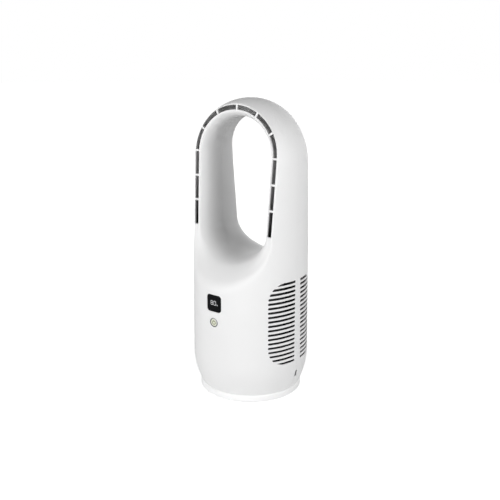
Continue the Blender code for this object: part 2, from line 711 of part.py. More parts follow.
def front_shell(look, hollow, through):
    """The front half, with the outlet slots, the display's pocket and the button's bore."""
    made = shell("front_shell", -1, look, hollow, through)
    combine(made, "DIFFERENCE", guide("outlet_slots", outlet_cutter()))
    pocket = rounded_outline(DISPLAY_WIDTH + 2 * GAP, DISPLAY_TALL + 2 * GAP, DISPLAY_CORNER)
    window_back = body_radius(DISPLAY_HEIGHT) - WINDOW_THICKNESS - GAP
    through_size = 2 * (DISPLAY_LEDGE - GAP)
    opening = rounded_outline(DISPLAY_WIDTH - through_size, DISPLAY_TALL - through_size, DISPLAY_CORNER / 2)
    curved = guide("display_pocket", extruded(pocket, CONTROL_BOARD_FRONT, BODY_RADIUS + CUT),
                   at(z=DISPLAY_HEIGHT) @ TO_FRONT)
    low = DISPLAY_HEIGHT - DISPLAY_TALL
    core = guide("display_pocket_floor", bar(window_back, low, low + 2 * DISPLAY_TALL, BODY_STEPS))
    combine(curved, "DIFFERENCE", core)
    opened = guide("display_opening", extruded(opening, CONTROL_BOARD_FRONT, BODY_RADIUS + CUT),
                   at(z=DISPLAY_HEIGHT) @ TO_FRONT)
    combine(made, "DIFFERENCE", curved, opened)
    step = bezel_front() - BEZEL_DEPTH - GAP
    bore = turned([(0.0, CONTROL_BOARD_FRONT), (BUTTON_RADIUS + GAP, CONTROL_BOARD_FRONT),
                   (BUTTON_RADIUS + GAP, step), (BEZEL_RADIUS + GAP, step),
                   (BEZEL_RADIUS + GAP, BODY_RADIUS + CUT), (0.0, BODY_RADIUS + CUT)])
    combine(made, "DIFFERENCE", guide("button_bore", bore, at(z=BUTTON_HEIGHT) @ TO_FRONT))
    for number, (x, height) in enumerate(control_screw_places()):
        hold = bar(SMALL_SHANK + GAP, CONTROL_BOARD_FRONT, CONTROL_BOARD_FRONT + control_screw_length())
        combine(made, "DIFFERENCE", guide(f"control_bore_{number + 1}", hold, at(x, 0.0, height) @ TO_FRONT))
    for side in (-1, 1):
        for number, height in enumerate(SHELL_SCREW_HEIGHTS):
            hold = bar(SCREW_SHANK + GAP, -CUT, SHELL_SCREW_REACH + 2 * GAP)
            place = at(side * SHELL_SCREW_SIDE, 0.0, height) @ TO_FRONT
            combine(made, "DIFFERENCE", guide(f"front_bore_{side}_{number}", hold, place))
    return made


def rear_shell(look, hollow, through):
    """The rear half, with deep holes for the shell screws."""
    made = shell("rear_shell", 1, look, hollow, through)
    for side in (-1, 1):
        for number, height in enumerate(SHELL_SCREW_HEIGHTS):
            head = SCREW_HEAD + GAP
            shank = SCREW_SHANK + GAP
            way = turned([(0.0, -CUT), (shank, -CUT), (shank, SHELL_SCREW_WEB), (head, SHELL_SCREW_WEB),
                          (head, BODY_RADIUS), (0.0, BODY_RADIUS)], SMALL_STEPS)
            place = at(side * SHELL_SCREW_SIDE, 0.0, height) @ TO_REAR
            combine(made, "DIFFERENCE", guide(f"rear_bore_{side}_{number}", way, place))
    return made


def bezel_front():
    """How far forward the bezel's face is."""
    return body_radius(BUTTON_HEIGHT) + BEZEL_PROUD


def screw(name, shank, head, head_height, length, look, place):
    """A pan-head screw whose seat is at its origin, with its shank up along Z."""
    profile = [(0.0, -head_height), (SCREW_FACE * head, -head_height), (head, 0.0), (shank, 0.0),
               (shank, length), (0.0, length)]
    return piece(name, turned(profile, SMALL_STEPS), look, place)


def control_screw_length():
    """How far the control board's screws reach in front of the board."""
    return body_radius(CONTROL_BOARD_TOP) - WALL - CONTROL_BOARD_FRONT


def shell_screws(look):
    """Long screws from behind that hold the shells together."""
    number = 0
    for side in (-1, 1):
        for height in SHELL_SCREW_HEIGHTS:
            number += 1
            seat = at(side * SHELL_SCREW_SIDE, SHELL_SCREW_WEB + GAP, height)
            screw(f"shell_screw_{number}", SCREW_SHANK, SCREW_HEAD, SCREW_HEAD_HEIGHT,
                  SHELL_SCREW_REACH + SHELL_SCREW_WEB, look, seat @ TO_FRONT)


def base_plate(look):
    """The foot ring and floor, with its posts for screws."""
    spigot = body_radius(SHELL_BOTTOM) - WALL - GAP
    low = FOOT_LOWER_ROUNDING
    high = FOOT_UPPER_ROUNDING
    profile = [(0.0, FOOT_CLEARANCE), (FOOT_RADIUS - low, FOOT_CLEARANCE),
               (FOOT_RADIUS, FOOT_CLEARANCE + low), (FOOT_RADIUS, FOOT_TOP - high),
               (FOOT_RADIUS - low, FOOT_TOP),
               (spigot, FOOT_TOP), (spigot, SPIGOT_TOP - GAP), (spigot - SPIGOT_WALL, SPIGOT_TOP - GAP),
               (spigot - SPIGOT_WALL, BASE_FLOOR), (0.0, BASE_FLOOR)]
    made = piece("base_plate", turned(profile, BODY_STEPS), look)
    start = BASE_FLOOR - EMBED
    for number, (x, y) in enumerate(base_screw_places()):
        post = bar(SCREW_HEAD + GAP + SMALL_BOSS_WALL, start, SPIGOT_TOP)
        combine(made, "UNION", guide(f"base_post_{number + 1}", post, at(x, y)))
        head = SCREW_HEAD + GAP
        shank = SCREW_SHANK + GAP
        seat = SPIGOT_TOP - BASE_WEB
        way = turned([(0.0, 0.0), (head, 0.0), (head, seat), (shank, seat), (shank, SPIGOT_TOP + CUT),
                      (0.0, SPIGOT_TOP + CUT)], SMALL_STEPS)
        combine(made, "DIFFERENCE", guide(f"base_way_{number + 1}", way, at(x, y)))
    for number, (x, y) in enumerate(charge_screw_places()):
        outer = SMALL_SHANK + GAP + SMALL_BOSS_WALL
        post = bar(outer, start, CHARGE_BOARD_LOW - GAP)
        combine(made, "UNION", guide(f"charge_post_{number + 1}", post, at(x, y)))
        bore = bar(SMALL_SHANK + GAP, CHARGE_BOARD_LOW - CHARGE_SCREW_REACH, CHARGE_BOARD_LOW + CUT)
        combine(made, "DIFFERENCE", guide(f"charge_bore_{number + 1}", bore, at(x, y)))
    for number, y in enumerate((-TAB_MIDDLE, TAB_MIDDLE)):
        post = bar(SMALL_SHANK + GAP + SMALL_BOSS_WALL, start, TAB_LOW - GAP)
        combine(made, "UNION", guide(f"tray_post_{number + 1}", post, at(y=y)))
        bore = bar(SMALL_SHANK + GAP, TAB_LOW - GAP - TRAY_SCREW_REACH, TAB_LOW + CUT)
        combine(made, "DIFFERENCE", guide(f"tray_bore_{number + 1}", bore, at(y=y)))
    for number, (x, y) in enumerate(round_polar(RUBBER_CIRCLE, 4)):
        recess = bar(RUBBER_RADIUS + GAP, 0.0, FOOT_CLEARANCE + RUBBER_RECESS, SMALL_STEPS)
        combine(made, "DIFFERENCE", guide(f"rubber_recess_{number + 1}", recess, at(x, y)))
    return made


def foot_pieces(rubber, steel):
    """Rubber feet and the screws from below."""
    top = FOOT_CLEARANCE + RUBBER_RECESS - GAP
    edge = EDGE_ROUNDING
    for number, (x, y) in enumerate(round_polar(RUBBER_CIRCLE, 4)):
        profile = [(0.0, 0.0), (RUBBER_RADIUS - edge, 0.0), (RUBBER_RADIUS, edge), (RUBBER_RADIUS, top),
                   (0.0, top)]
        piece(f"rubber_foot_{number + 1}", turned(profile, SMALL_STEPS), rubber, at(x, y))
    seat = SPIGOT_TOP - BASE_WEB - GAP
    for number, (x, y) in enumerate(base_screw_places()):
        screw(f"base_screw_{number + 1}", SCREW_SHANK, SCREW_HEAD, SCREW_HEAD_HEIGHT,
              BASE_WEB + BASE_SCREW_REACH, steel, at(x, y, seat))


def battery_pieces(cell_look, plastic, steel):
    """Two cells in a tray, held down by a clamp."""
    for number, side in enumerate((-1, 1)):
        turn = Matrix.Rotation(math.pi / 2, 4, "Y")
        cell = bar(CELL_RADIUS, -CELL_LENGTH / 2, CELL_LENGTH / 2, CELL_STEPS)
        place = at(y=side * CELL_SPACING / 2, z=CELL_CENTRE) @ turn
        piece(f"battery_cell_{number + 1}", cell, cell_look, place)
    long, wide = TRAY_HALF_LENGTH, TRAY_HALF_WIDTH
    tray_top = TRAY_LOW + TRAY_WALL_HEIGHT
    tray = piece("battery_tray", box((-long, -wide, TRAY_LOW), (long, wide, tray_top)), plastic)
    inner = box((-long + TRAY_WALL, -wide + TRAY_WALL, TRAY_LOW + TRAY_FLOOR),
                (long - TRAY_WALL, wide - TRAY_WALL, tray_top + CUT))
    combine(tray, "DIFFERENCE", guide("tray_inside", inner))
    foot_low = TAB_LOW + TAB_THICKNESS + GAP
    top = CELL_CENTRE + CELL_RADIUS + GAP
    thick = CLAMP_THICKNESS
    near = wide + GAP
    far = wide + TAB_LENGTH
    strap = [(-far, foot_low), (-near, foot_low), (-near, top), (near, top), (near, foot_low), (far, foot_low),
             (far, foot_low + thick), (near + thick, foot_low + thick), (near + thick, top + thick),
             (-near - thick, top + thick), (-near - thick, foot_low + thick), (-far, foot_low + thick)]
    clamp = piece("battery_clamp", extruded(strap, -CLAMP_WIDTH / 2, CLAMP_WIDTH / 2), plastic, TO_RIGHT)
    for number, side in enumerate((-1, 1)):
        low = min(side * (wide - EMBED), side * far)
        high = max(side * (wide - EMBED), side * far)
        tab = box((-TAB_WIDTH / 2, low, TAB_LOW), (TAB_WIDTH / 2, high, TAB_LOW + TAB_THICKNESS))
        combine(tray, "UNION", guide(f"tray_tab_{number + 1}", tab))
        way = bar(SMALL_SHANK + GAP, TAB_LOW - CUT, foot_low + thick + CUT)
        cutter = guide(f"tray_way_{number + 1}", way, at(y=side * TAB_MIDDLE))
        combine(tray, "DIFFERENCE", cutter)
        combine(clamp, "DIFFERENCE", cutter)
        seat = foot_low + thick + GAP
        length = seat - TAB_LOW + TRAY_SCREW_REACH - GAP
        screw(f"tray_screw_{number + 1}", SMALL_SHANK, SMALL_HEAD, SMALL_HEAD_HEIGHT, length, steel,
              at(0.0, side * TAB_MIDDLE, seat) @ Matrix.Rotation(math.pi, 4, "X"))


def charging_pieces(board_look, metal, steel):
    """The charging board behind the port, with its socket."""
    low = (CHARGE_BOARD_INNER, PORT_SIDE - CHARGE_BOARD_WIDTH / 2, CHARGE_BOARD_LOW)
    high = (CHARGE_BOARD_OUTER, PORT_SIDE + CHARGE_BOARD_WIDTH / 2, CHARGE_BOARD_TOP)
    board = piece("charging_board", box(low, high), board_look)
    start = CHARGE_BOARD_INNER + COIL_INSET
    coil = box((start, PORT_SIDE - COIL_SIZE / 2, CHARGE_BOARD_TOP - EMBED),
               (start + COIL_SIZE, PORT_SIDE + COIL_SIZE / 2, CHARGE_BOARD_TOP + COIL_HEIGHT))
    combine(board, "UNION", guide("charging_coil", coil))
    for number, (x, y) in enumerate(charge_screw_places()):
        way = bar(SMALL_SHANK + GAP, CHARGE_BOARD_LOW - CUT, CHARGE_BOARD_TOP + CUT)
        combine(board, "DIFFERENCE", guide(f"charge_way_{number + 1}", way, at(x, y)))
        screw(f"charging_board_screw_{number + 1}", SMALL_SHANK, SMALL_HEAD, SMALL_HEAD_HEIGHT,
              BOARD_THICKNESS + CHARGE_SCREW_REACH - GAP, steel,
              at(x, y, CHARGE_BOARD_TOP + GAP) @ Matrix.Rotation(math.pi, 4, "X"))
    mouth = body_radius(PORT_HEIGHT) - SOCKET_INSET
    place = at(0.0, PORT_SIDE, PORT_HEIGHT) @ TO_RIGHT
    outline = rounded_outline(SOCKET_THICKNESS, SOCKET_TALL, SOCKET_CORNER)
    socket = piece("usb_socket", extruded(outline, mouth - SOCKET_LENGTH, mouth), metal, place)
    inner = rounded_outline(SOCKET_THICKNESS - 2 * SOCKET_WALL, SOCKET_TALL - 2 * SOCKET_WALL,
                            SOCKET_CORNER - SOCKET_WALL)
    combine(socket, "DIFFERENCE",
            guide("socket_mouth", extruded(inner, mouth - SOCKET_DEPTH, mouth + CUT), place))
    tongue = rounded_outline(TONGUE_THICKNESS, TONGUE_TALL, TONGUE_THICKNESS / 3, 1)
    combine(socket, "UNION",
            guide("socket_tongue", extruded(tongue, mouth - SOCKET_DEPTH - EMBED, mouth - EMBED), place))


def control_pieces(board_look, black, lens, grey, metal, white, steel):
    """Board, display, button and switch behind the front shell."""
    middle = (CONTROL_BOARD_LOW + CONTROL_BOARD_TOP) / 2
    outline = rounded_outline(CONTROL_BOARD_WIDTH, CONTROL_BOARD_TOP - CONTROL_BOARD_LOW,
                              CONTROL_BOARD_CORNER, 1)
    board = piece("control_board", extruded(outline, CONTROL_BOARD_BACK, CONTROL_BOARD_FRONT), board_look,
                  at(z=middle) @ TO_FRONT)
    chip = extruded(rounded_outline(CHIP_SIZE, CHIP_SIZE, PART_CORNER, 1), CONTROL_BOARD_BACK - CHIP_HEIGHT,
                    CONTROL_BOARD_BACK + EMBED)
    combine(board, "UNION", guide("control_chip", chip, at(z=middle - CHIP_DROP) @ TO_FRONT))
    for number, (x, height) in enumerate(control_screw_places()):
        way = bar(SMALL_SHANK + GAP, CONTROL_BOARD_BACK - CUT, CONTROL_BOARD_FRONT + CUT)
        combine(board, "DIFFERENCE", guide(f"control_way_{number + 1}", way, at(x, 0.0, height) @ TO_FRONT))
        screw(f"control_board_screw_{number + 1}", SMALL_SHANK, SMALL_HEAD, SMALL_HEAD_HEIGHT,
              BOARD_THICKNESS + control_screw_length() - GAP, steel,
              at(x, -(CONTROL_BOARD_BACK - GAP), height) @ TO_FRONT)
    module = extruded(rounded_outline(MODULE_WIDTH, MODULE_TALL, PART_CORNER, 1), CONTROL_BOARD_FRONT + GAP,
                      CONTROL_BOARD_FRONT + GAP + MODULE_DEPTH)
    piece("display_module", module, black, at(z=DISPLAY_HEIGHT) @ TO_FRONT)
    radius = body_radius(DISPLAY_HEIGHT)
    outline = rounded_outline(DISPLAY_WIDTH, DISPLAY_TALL, DISPLAY_CORNER)
    window = piece("display_window", extruded(outline, CONTROL_BOARD_FRONT, BODY_RADIUS + CUT), lens,
                   at(z=DISPLAY_HEIGHT) @ TO_FRONT)
    low = DISPLAY_HEIGHT - DISPLAY_TALL
    skin = guide("window_skin",
                 ring(radius - WINDOW_THICKNESS, radius, low, low + 2 * DISPLAY_TALL, BODY_STEPS))
    combine(window, "INTERSECT", skin)
    switch_front = CONTROL_BOARD_FRONT + GAP + SWITCH_DEPTH
    switch = piece("switch_body", extruded(rounded_outline(SWITCH_SIZE, SWITCH_SIZE, PART_CORNER, 1),
                                           CONTROL_BOARD_FRONT + GAP, switch_front), grey,
                   at(z=BUTTON_HEIGHT) @ TO_FRONT)
    plunger_front = switch_front + PLUNGER_PROUD
    plunger_back = plunger_front - PLUNGER_LENGTH
    well = bar(PLUNGER_RADIUS + GAP, plunger_back - BUTTON_TRAVEL - GAP, switch_front + CUT)
    combine(switch, "DIFFERENCE", guide("switch_well", well, at(z=BUTTON_HEIGHT) @ TO_FRONT))
    place = at(0.0, -plunger_back, BUTTON_HEIGHT) @ TO_FRONT
    piece("switch_plunger", bar(PLUNGER_RADIUS, 0.0, PLUNGER_LENGTH), black, place)
    front = bezel_front()
    edge = EDGE_ROUNDING
    bezel = turned([(BUTTON_RADIUS + GAP, front - BEZEL_DEPTH), (BEZEL_RADIUS, front - BEZEL_DEPTH),
                    (BEZEL_RADIUS, front - edge), (BEZEL_RADIUS - edge, front), (BUTTON_RADIUS + GAP, front)])
    piece("button_bezel", bezel, metal, at(z=BUTTON_HEIGHT) @ TO_FRONT)
    back = BODY_RADIUS - PAD_THICKNESS - GAP
    collar = BUTTON_RADIUS + GAP + BUTTON_FLANGE
    face = front - BEZEL_PROUD
    start = plunger_front + GAP
    cap = turned([(0.0, 0.0), (STEM_RADIUS, 0.0), (STEM_RADIUS, back - BUTTON_COLLAR - start),
                  (collar, back - BUTTON_COLLAR - start), (collar, back - start), (BUTTON_RADIUS, back - start),
                  (BUTTON_RADIUS, face - edge - start), (BUTTON_RADIUS - edge, face - start),
                  (0.0, face - start)])
    piece("power_button", cap, white, at(0.0, -start, BUTTON_HEIGHT) @ TO_FRONT)


def vane(inner, outer, low, high, turn, thickness):
    """One curved blade about Z, turning by an angle from its lower to its upper edge."""
    mesh = bmesh.new()
    spans = 1
    chords = 3
    for side in (-0.5, 0.5):
        rows = []
        for chord in range(chords + 1):
            share = chord / chords
            bend = turn * math.sin(share * math.pi / 2)
            row = []
            for span in range(spans + 1):
                radius = inner + (outer - inner) * span / spans
                angle = bend + side * thickness / radius
                row.append(mesh.verts.new((radius * math.cos(angle), radius * math.sin(angle),
                                           low + (high - low) * share)))
            rows.append(row)
        for first, second in zip(rows, rows[1:]):
            for number in range(spans):
                mesh.faces.new((first[number], first[number + 1], second[number + 1], second[number]))
    border = [edge for edge in mesh.edges if len(edge.link_faces) == 1]
    bmesh.ops.bridge_loops(mesh, edges=border)
    bmesh.ops.recalc_face_normals(mesh, faces=mesh.faces)
    return mesh


def add_vanes(made, count, *shape):
    """Join evenly spaced blades to a hub."""
    for number in range(count):
        turn = Matrix.Rotation(math.tau * number / count, 4, "Z")
        combine(made, "UNION", guide(f"{made.name}_vane_{number + 1}", vane(*shape), turn))


def impeller(look):
    """The mixed-flow impeller, its hub open above for the motor's rotor."""
    steps = 3
    profile = []
    for step in range(steps + 1):
        angle = math.pi / 2 * step / steps
        profile.append((HUB_RADIUS * math.sin(angle), NOSE_TOP - (NOSE_TOP - NOSE_TIP) * math.cos(angle)))
    pocket = ROTOR_OUTER + GAP
    seat = ROTOR_LOW - GAP
    hole_low = SHAFT_LOW - GAP
    profile += [(HUB_RADIUS, IMPELLER_TOP), (pocket, IMPELLER_TOP), (pocket, seat),
                (SHAFT_RADIUS + GAP, seat), (SHAFT_RADIUS + GAP, hole_low), (0.0, hole_low)]
    made = piece("impeller", turned(profile), look)
    add_vanes(made, IMPELLER_BLADES, pocket + EMBED, DUCT_BORE - RUNNING_GAP, BLADE_LOW, BLADE_TOP, BLADE_TURN,
              BLADE_THICKNESS)
    return made


def motor_pieces(steel, iron, copper, magnet):
    """Rotor, shaft, bearings, stator and windings, all about Z."""
    bore = SHAFT_RADIUS + GAP
    floor = ROTOR_LOW + ROTOR_FLOOR
    rotor = turned([(bore, ROTOR_LOW), (ROTOR_OUTER, ROTOR_LOW), (ROTOR_OUTER, ROTOR_TOP),
                    (ROTOR_BORE, ROTOR_TOP), (ROTOR_BORE, floor), (bore, floor)])
    piece("rotor_cup", rotor, steel)
    magnets = ring(STATOR_RADIUS + RUNNING_GAP, ROTOR_BORE - GAP, STATOR_LOW - MAGNET_OVERHANG,
                   STATOR_TOP + MAGNET_OVERHANG)
    piece("magnet_ring", magnets, magnet)
    piece("motor_shaft", bar(SHAFT_RADIUS, SHAFT_LOW, SHAFT_TOP), steel)
    low = BEARING_TUBE_LOW + BEARING_INSET
    high = SHAFT_TOP - BEARING_INSET - BEARING_WIDTH
    for name, start in (("bearing_lower", low), ("bearing_upper", high)):
        piece(name, ring(bore, BEARING_RADIUS, start, start + BEARING_WIDTH, BEARING_STEPS), steel)
    tube = BEARING_RADIUS + GAP + BEARING_TUBE_WALL
    hub = tube + GAP
    core = piece("motor_stator", ring(hub, hub + STATOR_HUB_WALL, STATOR_LOW, STATOR_TOP), iron)
    length = STATOR_TOP - STATOR_LOW
    shoe_arc = math.tau / STATOR_POLES * (1 - SHOE_GAP_SHARE)
    inner_shoe = STATOR_RADIUS - SHOE_THICKNESS
    necks = []
    for number in range(STATOR_POLES):
        turn = Matrix.Rotation(math.tau * number / STATOR_POLES, 4, "Z")
        neck = box((hub + STATOR_HUB_WALL / 2, -POLE_WIDTH / 2, STATOR_LOW),
                   (STATOR_RADIUS - SHOE_THICKNESS / 2, POLE_WIDTH / 2, STATOR_TOP))
        arc = []
        for radius, way in ((inner_shoe, 1), (STATOR_RADIUS, -1)):
            for step in (-1, 0, 1):
                angle = way * step * shoe_arc / 2
                arc.append((radius * math.cos(angle), radius * math.sin(angle)))
        combine(core, "UNION", guide(f"pole_neck_{number + 1}", neck, turn),
                guide(f"pole_shoe_{number + 1}", extruded(arc, STATOR_LOW, STATOR_TOP), turn))
        space = box((hub, -POLE_WIDTH / 2 - WINDING_GAP, STATOR_LOW - WINDING_GAP),
                    (STATOR_RADIUS, POLE_WIDTH / 2 + WINDING_GAP, STATOR_LOW + length + WINDING_GAP))
        necks.append(guide(f"winding_window_{number + 1}", space, turn))
    coils = ring(hub + STATOR_HUB_WALL + WINDING_GAP, inner_shoe - WINDING_GAP, STATOR_LOW - WINDING_OVERHANG,
                 STATOR_TOP + WINDING_OVERHANG)
    combine(piece("stator_windings", coils, copper), "DIFFERENCE", *necks)


def guide_vanes(look):
    """The fixed vanes above the impeller, with the motor's bearing tube in their hub."""
    bore = BEARING_RADIUS + GAP
    tube = bore + BEARING_TUBE_WALL
    inner = HUB_RADIUS - HUB_WALL
    top = HUB_PLATE_LOW + HUB_PLATE_THICKNESS
    profile = [(0.0, top), (inner, top), (inner, HUB_TOP), (HUB_RADIUS, HUB_TOP), (HUB_RADIUS, HUB_LOW),
               (inner, HUB_LOW), (inner, HUB_PLATE_LOW), (tube, HUB_PLATE_LOW), (tube, BEARING_TUBE_LOW),
               (bore, BEARING_TUBE_LOW), (bore, SHAFT_TOP + GAP), (0.0, SHAFT_TOP + GAP)]
    made = piece("guide_vanes", turned(profile), look)
    add_vanes(made, GUIDE_VANES, HUB_RADIUS - EMBED, DUCT_BORE + EMBED, VANE_LOW, VANE_TOP, -VANE_TURN,
              VANE_THICKNESS)
    flange_top = RING_LOW + FLANGE_THICKNESS
    rim = guide("vane_rim", extruded(lugged_outline(), RING_LOW, flange_top))
    rim_top = RING_LOW + RING_HEIGHT
    combine(rim, "UNION", guide("rim_wall", bar(DUCT_OUTER, flange_top - EMBED, rim_top, DUCT_STEPS)))
    combine(rim, "DIFFERENCE", guide("rim_bore", bar(DUCT_BORE, RING_LOW - CUT, rim_top + CUT, DUCT_STEPS)))
    combine(made, "UNION", rim)
    drill_lugs(made, RING_LOW, flange_top)
    way = bar(LEAD_HOLE, HUB_PLATE_LOW - CUT, top + CUT)
    return combine(made, "DIFFERENCE", guide("plate_way", way, at(x=lead_offset())))


def lead_offset():
    """How far from the axis the motor's lead passes the hub plate."""
    return (BEARING_RADIUS + GAP + BEARING_TUBE_WALL + HUB_RADIUS - HUB_WALL) / 2


def lugged_outline():
    """Outline of a duct flange with a round lug at each screw."""
    lug = SCREW_SHANK + GAP + BOSS_WALL
    opening = math.acos((FLANGE_RADIUS ** 2 - LUG_CIRCLE ** 2 - lug ** 2) / (2 * LUG_CIRCLE * lug))
    rise = lug * math.sin(opening)
    half = math.asin(rise / FLANGE_RADIUS)
    lug_steps = 5
    flange_steps = 7
    points = []
    for number in range(DUCT_SCREWS):
        middle = math.pi / 2 + math.tau * number / DUCT_SCREWS
        for step in range(lug_steps + 1):
            angle = middle + opening * (2 * step / lug_steps - 1)
            points.append((LUG_CIRCLE * math.cos(middle) + lug * math.cos(angle),
                           LUG_CIRCLE * math.sin(middle) + lug * math.sin(angle)))
        free = math.tau / DUCT_SCREWS - 2 * half
        for step in range(1, flange_steps):
            angle = middle + half + free * step / flange_steps
            points.append((FLANGE_RADIUS * math.cos(angle), FLANGE_RADIUS * math.sin(angle)))
    return points


def drill_lugs(made, low, high):
    """Drill the screw holes through a duct piece's lugs."""
    for number, (x, y) in enumerate(lug_places()):
        way = bar(SCREW_SHANK + GAP, low - CUT, high + CUT)
        combine(made, "DIFFERENCE", guide(f"{made.name}_way_{number + 1}", way, at(x, y)))


def shroud(look):
    """The impeller's shroud with its flared inlet."""
    steps = 3
    bell = []
    for step in range(steps + 1):
        angle = math.pi / 2 * step / steps
        bell.append((BELL_FLARE * (1 - math.sin(angle)), BELL_TOP - (BELL_TOP - BELL_LOW) * math.cos(angle)))
    low = SHROUD_TOP - FLANGE_THICKNESS
    outside = [(0.0, BELL_LOW)] + [(DUCT_OUTER + spread, height) for spread, height in bell]
    outside += [(DUCT_OUTER, low + EMBED), (0.0, low + EMBED)]
    made = piece("impeller_shroud", turned(outside, DUCT_STEPS), look)
    combine(made, "UNION", guide("shroud_flange", extruded(lugged_outline(), low, SHROUD_TOP)))
    inside = [(0.0, BELL_LOW - CUT), (DUCT_BORE + BELL_FLARE, BELL_LOW - CUT)]
    inside += [(DUCT_BORE + spread, height) for spread, height in bell]
    inside += [(DUCT_BORE, SHROUD_TOP + CUT), (0.0, SHROUD_TOP + CUT)]
    combine(made, "DIFFERENCE", guide("shroud_bore", turned(inside, DUCT_STEPS)))
    drill_lugs(made, low, SHROUD_TOP)


def upper_duct(look):
    """The duct above the vanes and the deck that closes off the loop."""
    flange_top = UPPER_LOW + FLANGE_THICKNESS
    made = piece("fan_duct", bar(UPPER_OUTER, flange_top - EMBED, DECK_LOW + EMBED, DUCT_STEPS), look)
    combine(made, "UNION", guide("duct_flange", extruded(lugged_outline(), UPPER_LOW, flange_top)),
            guide("duct_deck", extruded(deck_outline(DECK_RADIUS, DECK_HALF_DEPTH), DECK_LOW, DECK_TOP)))
    boss = SCREW_SHANK + GAP + BOSS_WALL - EMBED / 2
    for number, (x, y) in enumerate(lug_places()):
        post = bar(boss, flange_top - EMBED, UPPER_LOW + LUG_BOSS_HEIGHT)
        combine(made, "UNION", guide(f"duct_boss_{number + 1}", post, at(x, y)))
    bore = bar(UPPER_BORE, UPPER_LOW - CUT, DECK_TOP + CUT, DUCT_STEPS)
    combine(made, "DIFFERENCE", guide("duct_bore", bore))
    drill_lugs(made, UPPER_LOW, UPPER_LOW + LUG_BOSS_HEIGHT)
    way = bar(LEAD_HOLE, UPPER_BORE - CUT, UPPER_OUTER + CUT)
    combine(made, "DIFFERENCE", guide("duct_way", way, at(z=lead_crossing()) @ TO_FRONT))


def lead_crossing():
    """Height where the motor's lead passes the duct's wall."""
    return (CONTROL_BOARD_LOW + CONTROL_BOARD_TOP) / 2 + 0.004


def air_pieces(black, foam, white, steel):
    """Shroud, vanes, hub cap, duct and seal."""
    shroud(black)
    guide_vanes(black)
    spigot = HUB_RADIUS - HUB_WALL - GAP
    low = HUB_TOP + GAP
    wall = HUB_WALL
    steps = 3
    outside = []
    inside = []
    for step in range(steps + 1):
        angle = CAP_SWEEP * step / steps
        outside.append((HUB_RADIUS * math.cos(angle), low + CAP_RISE * math.sin(angle)))
        inside.append(((spigot - wall) * math.cos(angle), low + (CAP_RISE - wall) * math.sin(angle)))
    profile = ([(spigot, HUB_TOP - CAP_SPIGOT), (spigot, low)] + outside
               + [(CAP_HOLE, low + CAP_RISE), (CAP_HOLE, low + CAP_RISE - wall)]
               + [point for point in inside[::-1] if point[0] > CAP_HOLE]
               + [(spigot - wall, HUB_TOP - CAP_SPIGOT)])
    piece("hub_cap", turned([point for point in profile if point[0] >= CAP_HOLE]), black)
    upper_duct(white)
    seal = piece("duct_seal", extruded(deck_outline(DECK_RADIUS, DECK_HALF_DEPTH), SEAL_LOW,
                                       SEAL_LOW + SEAL_THICKNESS), foam)
    inner = deck_outline(DECK_RADIUS - SEAL_WIDTH, DECK_HALF_DEPTH - SEAL_WIDTH)
    combine(seal, "DIFFERENCE", guide("seal_opening", extruded(inner, SEAL_LOW - CUT, DECK_LOW + CUT)))
    seat = SHROUD_TOP - FLANGE_THICKNESS - GAP
    for number, (x, y) in enumerate(lug_places()):
        length = UPPER_LOW + LUG_BOSS_HEIGHT - 2 * GAP - seat
        screw(f"duct_screw_{number + 1}", SCREW_SHANK, SCREW_HEAD, SCREW_HEAD_HEIGHT, length, steel,
              at(x, y, seat))


def wire(name, points, radius, look):
    """A wire along a smooth curve through its points."""
    knots = [Vector(point) for point in points]
    path = []
    for number in range(len(knots) - 1):
        before = knots[max(0, number - 1)]
        start, end = knots[number], knots[number + 1]
        after = knots[min(len(knots) - 1, number + 2)]
        leave = start + (end - before) / 6
        arrive = end - (after - start) / 6
        path += interpolate_bezier(start, leave, arrive, end, POINTS_PER_SPAN + 1)[:-1]
    path.append(knots[-1])
    curve = bpy.data.curves.new(name, "CURVE")
    curve.dimensions = "3D"
    curve.bevel_depth = radius
    curve.bevel_resolution = 2
    curve.use_fill_caps = True
    spline = curve.splines.new("POLY")
    spline.points.add(len(path) - 1)
    for target, point in zip(spline.points, path):
        target.co = (*point, 1.0)
    curve.materials.append(look)
    made = bpy.data.objects.new(name, curve)
    bpy.context.scene.collection.objects.link(made)
    return made


